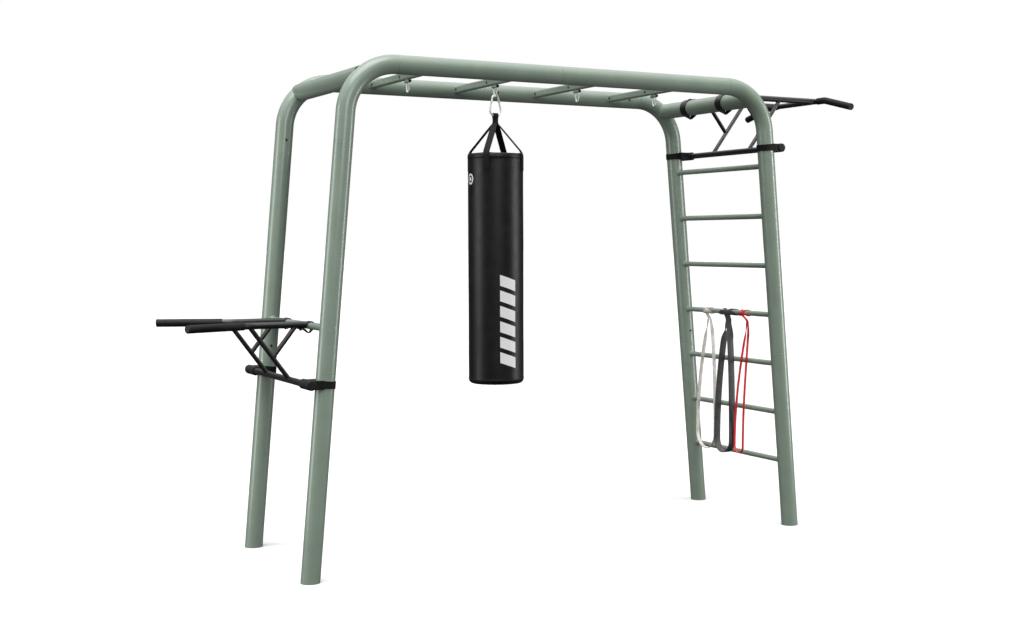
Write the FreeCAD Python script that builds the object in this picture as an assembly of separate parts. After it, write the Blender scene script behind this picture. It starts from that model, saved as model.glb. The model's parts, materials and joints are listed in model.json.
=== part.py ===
"""Garden monkey bars with a ladder end, dip bars, a pull-up bar, a hanging punch bag and bands.

Millimetres, +Z up, on the floor. X runs along the two top tubes from the dip-bar end to the
ladder end, and -Y is the front. The origin is on the floor under the middle of the whole
object's box. Everything is drawn about the middle of the tube frame and moved there at the end.
"""
import FreeCAD, Part
import math
import os

V = FreeCAD.Vector
ALONG_X = V(1, 0, 0)
ALONG_Y = V(0, 1, 0)
ALONG_Z = V(0, 0, 1)

# ---- tube frame ----
FRAME_R = 45.0
FRAME_WALL = 2.0
TOP_Z = 2400.0
CORNER_X = 1170.0
SIDE_Y = 454.0
SPLAY = math.radians(5.09)
BEND_R = 250.0
TOP_SEAM_X = 938.0
MID_SEAM_X = -72.0
UPPER_SEAM_Z = 2016.0
LOWER_SEAM_Z = 963.0
CROSS_R = 44.0
CROSS_REACH = 256.0
CROSS_BEND_ANGLE = math.radians(41)
SEAM_GAP = 1.4

# ---- joints between the tubes ----
SLEEVE_CLEARANCE = 0.2
SLEEVE_HALF_LENGTH = 110.0
SLEEVE_IN_BEND = 60.0
BOLT_OFFSET = 80.0
BOLT_R = 4.0
BOLT_HOLE_R = 4.5
BOLT_HEAD_R = 6.0
BOLT_HEAD = 4.0
BOLT_LENGTH = 22.0
NUT_HEIGHT = 6.0
PLUG_HEAD = 2.0
PLUG_STEM = 8.0
FOOT_PLUG_HEIGHT = 30.0
FLOOR_OVERRUN = 20.0
POINT_MATCH = 0.01
SLEEVE_R = FRAME_R - FRAME_WALL - SLEEVE_CLEARANCE

# ---- monkey rungs ----
RUNG_PITCH = 483.0
RUNG_COUNT = 4
RUNG_HEIGHT = 38.0
RUNG_WIDTH = 30.0
RUNG_CORNER = 8.0
RUNG_WALL = 2.0
RUNG_BOLT_Y = 385.0
STUB_LENGTH = 60.0

# ---- ladder ----
LADDER_TOP_Z = 1986.0
LADDER_PITCH = 271.0
LADDER_COUNT = 7
LADDER_R = 14.5
LADDER_WALL = 1.5
BAND_RUNG = 3
DIP_RUNG_Z = 1174.0
DIP_RUNG_R = 17.0

# ---- swing hooks ----
HOOK_Y = -70.0
HOOK_AXLE_Z = 2372.0
HOOK_LUG_R = 9.0
HOOK_LUG_HALF = 17.0
HOOK_AXLE_R = 4.0
HOOK_RUN = 0.3
HOOK_WIRE_R = 3.5
HOOK_EYE_R = 8.0
HOOK_BOW_R = 12.0
HOOK_BOW_Z = 2318.0
NUT_R = 7.0
NUT_LENGTH = 7.0

# ---- carabiner ----
BAG_RUNG = 1
CARABINER_WIRE_R = 5.0
CARABINER_TOP_R = 17.0
CARABINER_BOW_R = 30.0
CARABINER_BOW_Z = 2222.0
CARABINER_GAP = 0.4
GATE_LOW = 0.22
GATE_HIGH = 0.86
GATE_R = 4.5
GATE_GAP = 0.5
CHEEK_R = CARABINER_WIRE_R + 1.0
CHEEK_OVERHANG = 8.0
SLOT_LENGTH = 20.7
TONGUE_HALF = 2.2
TONGUE_LENGTH = 20.0
SHAFT_CLEAR = 10.0
KNUCKLE_R = 3.6
RIVET_R = 1.8
RIVET_FIT = 0.15

# ---- punch bag ----
BAG_R = 144.0
BAG_TOP_Z = 2030.0
BAG_BOTTOM_Z = 841.0
BAG_SKIN = 3.0
BAG_FIT = 0.3
BAG_HEADROOM = 60.0
BAG_TOP_ROUND = 10.0
BAG_BOTTOM_ROUND = 24.0
STRAP_WIDTH = 34.0
STRAP_THICK = 2.6
STRAP_SEWN = 92.0
STRAP_RUN = 1.0
SLING_HALF = 14.0
SLING_RUN = 1.8
SLING_R = 12.0
SLING_NECK_Z = 2196.0

# ---- dip bars and pull-up bar ----
BRACKET_Y = 175.0
ARM_R = 16.0
ARM_WALL = 2.0
STRUT_R = 11.0
STRUT_WALL = 1.5
CROSSBAR_R = 16.0
CROSSBAR_HALF = 480.0
STRIP_THICK = 5.0
STRIP_FIT = 0.4
KEEPER_DROP = 16.0
TIP_WIDTH = 12.0
TIP_SHARE = 0.25
STRIP_WRAP = math.radians(238)
KEEPER_GAP = 1.5
KEEPER_HEEL = 8.0
KEEPER_TOE = 24.0
DIP_ARM_Z = 1180.0
DIP_BEND_X = -1570.0
DIP_END_X = -1884.0
DIP_END_Y = 298.0
DIP_GRIP_START_X = -1600.0
DIP_CROSSBAR_X = -1381.0
DIP_CROSSBAR_Z = 918.0
DIP_STRUT_X = -1574.0
DIP_BRACE_X = -1345.0
DIP_STRIP_WIDTH = 40.0
PULLUP_ARM_Z = 2382.0
PULLUP_BAR_X = 1750.0
PULLUP_BAR_R = 15.0
PULLUP_MIDDLE_Y = -15.0
PULLUP_BEND_Y = 257.0
PULLUP_END_Y = 481.0
PULLUP_END_Z = 2329.0
PULLUP_GRIP_Y = 195.0
PULLUP_CROSSBAR_X = 1275.0
PULLUP_CROSSBAR_Z = 2085.0
PULLUP_STRUT_X = 1494.0
PULLUP_BRACE_X = 1232.0
PULLUP_STRIP_WIDTH = 50.0
BRACE_AT = 0.42
GRIP_R = 19.0
GRIP_CAP = 8.0
GRIP_ROUND = 4.0
BORE_OVERRUN = 10.0
HALF_CUT = V(0, 60.0, 0)
ARM_BEND_R = 120.0
BAR_BEND_R = 90.0

# ---- end blocks and leg straps ----
BLOCK_R = 23.5
BLOCK_IN_Y = 372.0
BLOCK_OUT_Y = 502.0
BLOCK_ROUND = 6.0
BLOCK_FIT = 0.3
PAD_HALF = 20.5
PAD_CLEAR = 6.0
LEG_STRAP_HEIGHT = 34.0
LEG_STRAP_THICK = 3.5
STRAP_END_SHARE = 0.75

# ---- exercise bands ----
BAND_THICK = 4.5
BAND_CLEAR = 0.4
BAND_DROP = 24.0
BAND_PEAK_SHARE = 0.04
BAND_BOW = 0.7
BAND_BOW_STEPS = 6
BAND_BLUNT = 14.0
BIGHT_HEIGHT = 16.0
BIGHT_RUN = 1.0
BANDS = [
    {"name": "cream", "hitch_y": 197.0, "width": 22.0, "spacing": 44.0, "exit_y": 163.0,
     "loop_x": -14.0, "loop_y": 197.0, "loop_width": 186.0, "low_z": 358.0},
    {"name": "grey", "hitch_y": -8.0, "width": 42.0, "spacing": 86.0, "exit_y": -31.0,
     "loop_x": -24.0, "loop_y": -3.0, "loop_width": 152.0, "low_z": 358.0},
    {"name": "red", "hitch_y": -160.0, "width": 14.0, "spacing": 62.0, "exit_y": -216.0,
     "loop_x": -10.0, "loop_y": -124.0, "loop_width": 84.0, "low_z": 366.0},
]

DIP_END_TURN = math.atan2(DIP_END_Y - BRACKET_Y, DIP_BEND_X - DIP_END_X)
BOX_LOW_X = DIP_END_X - GRIP_CAP * math.cos(DIP_END_TURN) - GRIP_R * math.sin(DIP_END_TURN)
BOX_HIGH_X = PULLUP_BAR_X + GRIP_R
BOX_MIDDLE_X = (BOX_LOW_X + BOX_HIGH_X) / 2

parts = {}


# ---------------- shape helpers ----------------
def rod(start, end, radius):
    """A solid round rod between two points."""
    return Part.makeCylinder(radius, (end - start).Length, start, end - start)


def tube(start, end, radius, wall):
    """A round tube, open at both ends."""
    return rod(start, end, radius).cut(rod(start, end, radius - wall))


def unit(vector):
    """The same direction at length 1."""
    return vector / vector.Length


def bent_path(points, bend_radius):
    """A wire of straight runs through the points, with a tangent arc at each inner point."""
    edges = []
    start = points[0]
    for before, corner, after in zip(points, points[1:], points[2:]):
        back = unit(before - corner)
        ahead = unit(after - corner)
        half_angle = back.getAngle(ahead) / 2
        setback = bend_radius / math.tan(half_angle)
        arc_in = corner + back * setback
        arc_out = corner + ahead * setback
        middle = corner + unit(back + ahead) * (bend_radius / math.sin(half_angle) - bend_radius)
        edges.append(Part.makeLine(start, arc_in))
        edges.append(Part.Arc(arc_in, middle, arc_out).toShape())
        start = arc_out
    edges.append(Part.makeLine(start, points[-1]))
    return Part.Wire(edges)


def bent_rod(points, bend_radius, radius):
    """A solid round rod swept along a bent path."""
    circle = Part.makeCircle(radius, points[0], points[1] - points[0])
    return bent_path(points, bend_radius).makePipeShell([Part.Wire([circle])], True, True)


def prism(outline, extrusion):
    """A solid from a closed outline of straight edges."""
    return Part.Face(Part.makePolygon(outline + [outline[0]])).extrude(extrusion)


def rounded_bar(width, height, corner, half_length):
    """A bar along Y with a rounded rectangular section, centred on the origin."""
    corner_start = V(-width / 2, -half_length, -height / 2)
    bar = Part.makeBox(width, 2 * half_length, height, corner_start)
    long_edges = [edge for edge in bar.Edges if abs(edge.tangentAt(0).y) > 1 - POINT_MATCH]
    return bar.makeFillet(corner, long_edges)


def leg_x(height):
    """Distance of a leg's axis from the middle of the frame at a height."""
    return CORNER_X + (TOP_Z - height) * math.tan(SPLAY)


def leg_point(end, side, height):
    """A point on a leg's axis; end is -1 or 1 along X, side is -1 or 1 along Y."""
    return V(end * leg_x(height), side * SIDE_Y, height)


def group(solids):
    """Several separate solids kept as one part."""
    return Part.makeCompound(solids)


END_NAMES = {-1: "left", 1: "right"}
SIDE_NAMES = {-1: "front", 1: "rear"}


# ---------------- tube frame ----------------
def bolt_line(axis_point, side):
    """Where a joint bolt goes in: the tube's inner face, and its way towards the axis."""
    face = V(axis_point.x, axis_point.y - side * FRAME_R, axis_point.z)
    return face, V(0, side, 0)


def seam_points(side):
    """Each seam of one side frame: its centre, the tube's direction and its bolt's place."""
    seams = [(V(MID_SEAM_X, side * SIDE_Y, TOP_Z), ALONG_X)]
    for end in (-1, 1):
        seams.append((V(end * TOP_SEAM_X, side * SIDE_Y, TOP_Z), V(-end, 0, 0)))
        up_leg = unit(leg_point(end, side, UPPER_SEAM_Z) - leg_point(end, side, LOWER_SEAM_Z))
        seams.append((leg_point(end, side, UPPER_SEAM_Z), up_leg))
        seams.append((leg_point(end, side, LOWER_SEAM_Z), up_leg))
    return [(centre, way, centre + way * BOLT_OFFSET) for centre, way in seams]


def joint_bolt(face, way):
    """A round-headed bolt standing on a face and going in along a direction."""
    crown_centre = face - way * BOLT_HEAD
    head = Part.makeCylinder(BOLT_HEAD_R, BOLT_HEAD, crown_centre, way)
    crown = [edge for edge in head.Edges
             if edge.CenterOfMass.distanceToPoint(crown_centre) < POINT_MATCH]
    head = head.makeFillet(BOLT_HEAD / 2, crown)
    socket = Part.makeCylinder(BOLT_R / 2, BOLT_HEAD / 2, crown_centre, way)
    shank = Part.makeCylinder(BOLT_R, BOLT_LENGTH, face, way)
    return head.cut(socket).fuse(shank)


def corner_rod(end, side, radius, start_x=TOP_SEAM_X):
    """The solid outer shape of a corner bend, from the top seam to the upper leg seam."""
    points = [V(end * start_x, side * SIDE_Y, TOP_Z),
              V(end * CORNER_X, side * SIDE_Y, TOP_Z),
              leg_point(end, side, UPPER_SEAM_Z)]
    return bent_rod(points, BEND_R, radius)


def corner_sleeve(end, side):
    """The sleeve inside a top seam: straight in the top tube, then round the start of the bend."""
    start_x = TOP_SEAM_X - SLEEVE_HALF_LENGTH
    whole = corner_rod(end, side, SLEEVE_R, start_x)
    whole = whole.cut(corner_rod(end, side, SLEEVE_R - FRAME_WALL, start_x))
    length = SLEEVE_HALF_LENGTH + SLEEVE_IN_BEND
    low_x = start_x if end > 0 else -start_x - length
    return whole.common(Part.makeBox(length, 4 * FRAME_R, 4 * FRAME_R,
                                     V(low_x, side * SIDE_Y - 2 * FRAME_R, TOP_Z - 2 * FRAME_R)))


def leg_rod(end, side, radius):
    """The solid outer shape of a whole leg below the bend."""
    return rod(leg_point(end, side, UPPER_SEAM_Z + SLEEVE_HALF_LENGTH),
               leg_point(end, side, -FLOOR_OVERRUN), radius)


def make_side_frame(side, holes):
    """The eight tubes of one side: two top tubes, two corners, two upper and two lower legs."""
    side_name = SIDE_NAMES[side]
    seams = []
    for centre, way, _ in seam_points(side):
        half_gap = way * (SEAM_GAP / 2)
        seams.append(rod(centre - half_gap, centre + half_gap, 2 * FRAME_R))
    cutter = group(seams + holes)
    for end in (-1, 1):
        place = side_name + "_" + END_NAMES[end]
        seam_x = end * TOP_SEAM_X
        top = tube(V(seam_x, side * SIDE_Y, TOP_Z), V(MID_SEAM_X, side * SIDE_Y, TOP_Z),
                   FRAME_R, FRAME_WALL)
        parts["top_tube_" + place] = top.cut(cutter)
        corner = corner_rod(end, side, FRAME_R).cut(corner_rod(end, side, FRAME_R - FRAME_WALL))
        parts["corner_" + place] = corner.cut(cutter)
        upper = tube(leg_point(end, side, UPPER_SEAM_Z), leg_point(end, side, LOWER_SEAM_Z),
                     FRAME_R, FRAME_WALL)
        parts["upper_leg_" + place] = upper.cut(cutter)
        lower = tube(leg_point(end, side, LOWER_SEAM_Z), leg_point(end, side, -FLOOR_OVERRUN),
                     FRAME_R, FRAME_WALL)
        parts["lower_leg_" + place] = lower.common(above_floor()).cut(cutter)


def above_floor():
    """Everything above the floor, for cutting the feet level."""
    return Part.makeBox(4 * TOP_Z, 2 * TOP_Z, TOP_Z, V(-2 * TOP_Z, -TOP_Z, 0))


def make_joint_parts():
    """The bolts and their holes at every tube seam, the sleeves inside, and the foot plugs."""
    bolts = []
    hole_rods = []
    sleeves = []
    for side in (-1, 1):
        for centre, way, bolt_at in seam_points(side):
            face, inward = bolt_line(bolt_at, side)
            bolts.append(joint_bolt(face, inward))
            hole_rods.append(Part.makeCylinder(BOLT_HOLE_R, BOLT_LENGTH, face - inward, inward))
            if abs(centre.x) == TOP_SEAM_X:
                sleeves.append(corner_sleeve(int(math.copysign(1, centre.x)), side))
            else:
                ends = (centre - way * SLEEVE_HALF_LENGTH, centre + way * SLEEVE_HALF_LENGTH)
                sleeves.append(tube(ends[0], ends[1], SLEEVE_R, FRAME_WALL))
    plugs = []
    for end in (-1, 1):
        for side in (-1, 1):
            plug = rod(leg_point(end, side, -FLOOR_OVERRUN), leg_point(end, side, FOOT_PLUG_HEIGHT),
                       SLEEVE_R)
            plugs.append(plug.common(above_floor()))
    parts["foot_plugs"] = group(plugs)
    holes = group(hole_rods)
    return bolts, hole_rods, [sleeve.cut(holes) for sleeve in sleeves]


def make_cross_tubes():
    """The two tubes that join the front and rear corners, cut to saddle on the bends."""
    arc_centre_x = CORNER_X - BEND_R * math.tan((math.pi / 2 - SPLAY) / 2)
    cross_x = arc_centre_x + CROSS_REACH * math.sin(CROSS_BEND_ANGLE)
    cross_z = TOP_Z - BEND_R + CROSS_REACH * math.cos(CROSS_BEND_ANGLE)
    for end in (-1, 1):
        ends = (V(end * cross_x, -SIDE_Y, cross_z), V(end * cross_x, SIDE_Y, cross_z))
        solid = rod(ends[0], ends[1], CROSS_R)
        for side in (-1, 1):
            solid = solid.cut(corner_rod(end, side, FRAME_R))
        parts["cross_tube_" + END_NAMES[end]] = solid.cut(rod(ends[0], ends[1], CROSS_R - FRAME_WALL))
    return cross_x, cross_z


# ---------------- rungs ----------------
def rung_x(index):
    """Where a monkey rung sits along the frame."""
    return (index - (RUNG_COUNT - 1) / 2) * RUNG_PITCH


def make_monkey_rungs():
    """The hand rungs, the stubs they slide on, their bolts and the plugs at mid-span."""
    top_rods = []
    for side in (-1, 1):
        ends = (V(-TOP_SEAM_X, side * SIDE_Y, TOP_Z), V(TOP_SEAM_X, side * SIDE_Y, TOP_Z))
        top_rods.append(rod(ends[0], ends[1], FRAME_R))
    inner_width = RUNG_WIDTH - 2 * RUNG_WALL
    inner_height = RUNG_HEIGHT - 2 * RUNG_WALL
    stub_width = inner_width - 2 * SLEEVE_CLEARANCE
    stub_height = inner_height - 2 * SLEEVE_CLEARANCE
    stubs = []
    bolts = []
    plugs = []
    for index in range(RUNG_COUNT):
        centre = V(rung_x(index), 0, TOP_Z)
        outer = rounded_bar(RUNG_WIDTH, RUNG_HEIGHT, RUNG_CORNER, SIDE_Y)
        inner = rounded_bar(inner_width, inner_height, RUNG_CORNER - RUNG_WALL, SIDE_Y + 1)
        rung = outer.cut(inner)
        rung.translate(centre)
        stub_outer = rounded_bar(stub_width, stub_height, RUNG_CORNER - RUNG_WALL, SIDE_Y)
        stub_inner = rounded_bar(stub_width - 2 * RUNG_WALL, stub_height - 2 * RUNG_WALL,
                                 RUNG_CORNER - 2 * RUNG_WALL, SIDE_Y + 1)
        stub = stub_outer.cut(stub_inner)
        stub.translate(centre)
        for top in top_rods:
            rung = rung.cut(top)
            stub = stub.cut(top)
        inner_end = SIDE_Y - FRAME_R - STUB_LENGTH
        gap = Part.makeBox(RUNG_WIDTH, 2 * inner_end, RUNG_HEIGHT,
                           centre - V(RUNG_WIDTH / 2, inner_end, RUNG_HEIGHT / 2))
        stub = stub.cut(gap)
        holes = []
        for y in (-RUNG_BOLT_Y, 0, RUNG_BOLT_Y):
            hole_start = centre + V(-RUNG_WIDTH, y, 0)
            holes.append(Part.makeCylinder(BOLT_HOLE_R, 2 * RUNG_WIDTH, hole_start, ALONG_X))
        rung = rung.cut(group(holes))
        stub = stub.cut(group(holes))
        parts["monkey_rung_" + str(index + 1)] = rung
        stubs.extend(stub.Solids)
        for y in (-RUNG_BOLT_Y, RUNG_BOLT_Y):
            bolts.append(through_bolt(centre + V(0, y, 0)))
        for way in (-1, 1):
            plugs.append(rung_plug(centre + V(way * RUNG_WIDTH / 2, 0, 0), -way))
    parts["rung_plugs"] = group(plugs)
    return stubs, bolts


def through_bolt(centre):
    """A bolt along X through a rung, with its head at -X and a nut at +X."""
    face = centre - V(RUNG_WIDTH / 2, 0, 0)
    head = Part.makeCylinder(BOLT_HEAD_R, BOLT_HEAD, face - V(BOLT_HEAD, 0, 0), ALONG_X)
    socket = Part.makeCylinder(BOLT_R / 2, BOLT_HEAD / 2, face - V(BOLT_HEAD, 0, 0), ALONG_X)
    shank = Part.makeCylinder(BOLT_R, RUNG_WIDTH, face, ALONG_X)
    nut = Part.makeCylinder(BOLT_HEAD_R, NUT_HEIGHT, centre + V(RUNG_WIDTH / 2, 0, 0), ALONG_X)
    return head.cut(socket).fuse(shank).fuse(nut)


def rung_plug(face, way):
    """A push-in plug in a hole at the middle of a rung; way is its direction along X."""
    inward = V(way, 0, 0)
    head = Part.makeCylinder(BOLT_HEAD_R, PLUG_HEAD, face, -inward)
    return head.fuse(Part.makeCylinder(BOLT_R, PLUG_STEM, face, inward))


def ladder_point(index, y=0.0):
    """A point on a ladder rung's axis."""
    height = LADDER_TOP_Z - index * LADDER_PITCH
    return V(leg_x(height), y, height)


def make_ladder():
    """The foot rungs of the ladder and the single rung that carries the dip bars."""
    right_legs = [leg_rod(1, side, FRAME_R) for side in (-1, 1)]
    left_legs = [leg_rod(-1, side, FRAME_R) for side in (-1, 1)]
    rungs = []
    for index in range(LADDER_COUNT):
        ends = (ladder_point(index, -SIDE_Y), ladder_point(index, SIDE_Y))
        rung = rod(ends[0], ends[1], LADDER_R)
        for leg in right_legs:
            rung = rung.cut(leg)
        rungs.append(rung.cut(rod(ends[0], ends[1], LADDER_R - LADDER_WALL)))
    parts["ladder_rungs"] = group(rungs)
    ends = (leg_point(-1, -1, DIP_RUNG_Z), leg_point(-1, 1, DIP_RUNG_Z))
    dip_rung = rod(ends[0], ends[1], DIP_RUNG_R)
    for leg in left_legs:
        dip_rung = dip_rung.cut(leg)
    parts["dip_rung"] = dip_rung.cut(rod(ends[0], ends[1], DIP_RUNG_R - FRAME_WALL))


# ---------------- swing hooks ----------------
def hook_centre(index):
    """The middle of a hook's axle under its rung."""
    return V(rung_x(index), HOOK_Y, HOOK_AXLE_Z)


def make_hook_lugs():
    """The bearing lug under each rung and the axle with its nuts."""
    lugs = []
    axles = []
    for index in range(RUNG_COUNT):
        centre = hook_centre(index)
        half = V(0, HOOK_LUG_HALF, 0)
        barrel = rod(centre - half, centre + half, HOOK_LUG_R)
        web = Part.makeBox(2 * HOOK_LUG_R, 2 * HOOK_LUG_HALF, HOOK_LUG_R,
                           centre - V(HOOK_LUG_R, HOOK_LUG_HALF, 0))
        lug = barrel.fuse(web).removeSplitter()
        lugs.append(lug.cut(rod(centre - half, centre + half, HOOK_AXLE_R)))
        nut_y = HOOK_LUG_HALF + 2 * HOOK_RUN + 2 * HOOK_WIRE_R
        axle = rod(centre - V(0, nut_y, 0), centre + V(0, nut_y, 0), HOOK_AXLE_R)
        for way in (-1, 1):
            start = centre + V(0, way * nut_y, 0)
            axle = axle.fuse(Part.makeCylinder(NUT_R, NUT_LENGTH, start, V(0, way, 0)))
        axles.append(axle)
    parts["hook_lugs"] = group(lugs)
    parts["hook_axles"] = group(axles)


def make_swing_hooks():
    """The steel bail that hangs from each axle: two eyes, two legs and a round bow."""
    eye_y = HOOK_LUG_HALF + HOOK_RUN + HOOK_WIRE_R
    drop = HOOK_AXLE_Z - HOOK_EYE_R + 1 - HOOK_BOW_Z - HOOK_BOW_R
    lean = math.atan2(eye_y, drop) - math.asin(HOOK_BOW_R / math.hypot(eye_y, drop))
    for index in range(RUNG_COUNT):
        centre = hook_centre(index)
        bow = V(centre.x, centre.y, HOOK_BOW_Z + HOOK_BOW_R)
        ends = []
        touches = []
        for way in (-1, 1):
            ends.append(bow + V(0, way * eye_y, drop))
            touches.append(bow + V(0, way * math.cos(lean), -math.sin(lean)) * HOOK_BOW_R)
        path = Part.Wire([Part.makeLine(ends[0], touches[0]),
                          Part.Arc(touches[0], bow - V(0, 0, HOOK_BOW_R), touches[1]).toShape(),
                          Part.makeLine(touches[1], ends[1])])
        circle = Part.Wire([Part.makeCircle(HOOK_WIRE_R, ends[0], touches[0] - ends[0])])
        bail = path.makePipeShell([circle], True, True)
        half = V(0, HOOK_LUG_HALF + HOOK_RUN, 0)
        bail = bail.cut(rod(centre - half, centre + half, HOOK_LUG_R * math.sqrt(2) + HOOK_RUN))
        for way in (-1, 1):
            eye_start = centre + V(0, way * (HOOK_LUG_HALF + HOOK_RUN), 0)
            eye = Part.makeCylinder(HOOK_EYE_R, 2 * HOOK_WIRE_R, eye_start, V(0, way, 0))
            bail = bail.fuse(eye)
        bore = rod(centre - 2 * half, centre + 2 * half, HOOK_AXLE_R + HOOK_RUN)
        parts["swing_hook_" + str(index + 1)] = bail.cut(bore).removeSplitter()


# ---------------- carabiner ----------------
def carabiner_frame():
    """Centres of the carabiner's top and bottom arcs and the slope of its sides."""
    x = rung_x(BAG_RUNG)
    top_wire_z = HOOK_BOW_Z + HOOK_WIRE_R + CARABINER_GAP + CARABINER_WIRE_R
    top = V(x, HOOK_Y, top_wire_z - CARABINER_TOP_R)
    low = V(x, HOOK_Y, CARABINER_BOW_Z + CARABINER_BOW_R)
    lean = math.asin((CARABINER_BOW_R - CARABINER_TOP_R) / (top.z - low.z))
    return top, low, lean


def make_carabiner():
    """A pear-shaped snap hook: an open ring of wire, and the gate that closes its side."""
    top, low, lean = carabiner_frame()
    side_way = V(math.cos(lean), 0, math.sin(lean))
    mirrored = V(-side_way.x, 0, side_way.z)
    low_right = low + side_way * CARABINER_BOW_R
    low_left = low + mirrored * CARABINER_BOW_R
    top_right = top + side_way * CARABINER_TOP_R
    top_left = top + mirrored * CARABINER_TOP_R
    gate_run = top_right - low_right
    nose = low_right + gate_run * GATE_LOW
    pivot = low_right + gate_run * GATE_HIGH
    path = Part.Wire([
        Part.makeLine(nose, low_right),
        Part.Arc(low_right, low - V(0, 0, CARABINER_BOW_R), low_left).toShape(),
        Part.makeLine(low_left, top_left),
        Part.Arc(top_left, top + V(0, 0, CARABINER_TOP_R), top_right).toShape(),
        Part.makeLine(top_right, pivot),
    ])
    circle = Part.Wire([Part.makeCircle(CARABINER_WIRE_R, nose, low_right - nose)])
    body = path.makePipeShell([circle], True, True)
    along = unit(gate_run)
    cheek_end = pivot - along * (2 * GATE_R)
    cheek_across = V(0, CHEEK_R, 0)
    cheek_ends = rod(cheek_end - cheek_across, cheek_end + cheek_across, CHEEK_R)
    cheek_ends = cheek_ends.common(rod(pivot, cheek_end - along * CHEEK_OVERHANG, CHEEK_R))
    cheeks = rod(pivot, cheek_end, CHEEK_R).fuse(cheek_ends)
    slot_half = TONGUE_HALF + HOOK_RUN
    slot = Part.makeBox(4 * GATE_R, 2 * slot_half, SLOT_LENGTH, V(-2 * GATE_R, -slot_half, 0))
    slot.rotate(V(0, 0, 0), ALONG_Y, -math.degrees(lean))
    slot.translate(pivot - along * (5 * GATE_R))
    rivet_across = V(0, CARABINER_WIRE_R, 0)
    rivet = rod(cheek_end - rivet_across, cheek_end + rivet_across, RIVET_R)
    parts["carabiner_body"] = body.fuse(cheeks.cut(slot)).fuse(rivet)
    gate_low = nose + along * GATE_GAP
    shaft = rod(gate_low, cheek_end - along * SHAFT_CLEAR, GATE_R)
    tongue = Part.makeBox(2 * KNUCKLE_R, 2 * TONGUE_HALF, TONGUE_LENGTH,
                          V(-KNUCKLE_R, -TONGUE_HALF, 0))
    tongue.rotate(V(0, 0, 0), ALONG_Y, -math.degrees(lean))
    tongue.translate(cheek_end - along * TONGUE_LENGTH)
    knuckle_across = V(0, TONGUE_HALF, 0)
    knuckle = rod(cheek_end - knuckle_across, cheek_end + knuckle_across, KNUCKLE_R)
    bore = rod(cheek_end - rivet_across * 2, cheek_end + rivet_across * 2, RIVET_R + RIVET_FIT)
    parts["carabiner_gate"] = shaft.fuse(tongue).fuse(knuckle).cut(bore).removeSplitter()


# ---------------- punch bag ----------------
def rounded_drum(radius, low_z, high_z, low_round, high_round, centre):
    """An upright drum with rounded rims."""
    drum = Part.makeCylinder(radius, high_z - low_z, V(centre.x, centre.y, low_z))
    low_rim = [edge for edge in drum.Edges
               if len(edge.Vertexes) == 1 and abs(edge.CenterOfMass.z - low_z) < POINT_MATCH]
    drum = drum.makeFillet(low_round, low_rim)
    high_rim = [edge for edge in drum.Edges
                if len(edge.Vertexes) == 1 and abs(edge.CenterOfMass.z - high_z) < POINT_MATCH]
    return drum.makeFillet(high_round, high_rim)


def make_punch_bag():
    """The bag's skin, its filling, its four straps and the sling they gather in."""
    centre = V(rung_x(BAG_RUNG), HOOK_Y, 0)
    outer = rounded_drum(BAG_R, BAG_BOTTOM_Z, BAG_TOP_Z, BAG_BOTTOM_ROUND, BAG_TOP_ROUND, centre)
    inner = rounded_drum(BAG_R - BAG_SKIN, BAG_BOTTOM_Z + BAG_SKIN, BAG_TOP_Z - BAG_SKIN,
                         BAG_BOTTOM_ROUND - BAG_SKIN, BAG_TOP_ROUND - BAG_SKIN, centre)
    fill_step = BAG_SKIN + BAG_FIT
    filling = rounded_drum(BAG_R - fill_step, BAG_BOTTOM_Z + fill_step,
                           BAG_TOP_Z - BAG_SKIN - BAG_HEADROOM, BAG_BOTTOM_ROUND - BAG_SKIN,
                           BAG_TOP_ROUND, centre)
    parts["bag_skin"] = outer.cut(inner)
    parts["bag_filling"] = filling
    wall_r = BAG_R + BAG_FIT
    gather_r = STRAP_WIDTH / 2 + STRAP_THICK
    gather_z = SLING_NECK_Z - STRAP_RUN
    outline = [
        V(wall_r, 0, BAG_TOP_Z - STRAP_SEWN),
        V(wall_r + STRAP_THICK, 0, BAG_TOP_Z - STRAP_SEWN),
        V(wall_r + STRAP_THICK, 0, BAG_TOP_Z + STRAP_THICK),
        V(gather_r, 0, gather_z),
        V(gather_r - STRAP_THICK, 0, gather_z),
        V(gather_r - STRAP_THICK, 0, gather_z - STRAP_THICK),
        V(wall_r, 0, BAG_TOP_Z + BAG_FIT),
    ]
    straps = []
    for quarter in range(4):
        strap = prism(outline, V(0, STRAP_WIDTH, 0))
        strap.translate(V(0, -STRAP_WIDTH / 2, 0))
        strap.rotate(V(0, 0, 0), ALONG_Z, 45 + 90 * quarter)
        strap.translate(centre)
        straps.append(strap)
    parts["bag_straps"] = group(straps)
    bow = V(centre.x, centre.y, CARABINER_BOW_Z)
    loop = rod(bow - V(SLING_HALF, 0, 0), bow + V(SLING_HALF, 0, 0), SLING_R)
    neck = Part.makeBox(2 * SLING_HALF, 2 * SLING_R, bow.z - SLING_NECK_Z,
                        V(bow.x - SLING_HALF, bow.y - SLING_R, SLING_NECK_Z))
    low = V(bow.x, bow.y, CARABINER_BOW_Z + CARABINER_BOW_R)
    tunnel = Part.makeTorus(CARABINER_BOW_R, CARABINER_WIRE_R + SLING_RUN, low, ALONG_Y)
    parts["bag_sling"] = loop.fuse(neck).cut(tunnel).removeSplitter()


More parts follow.
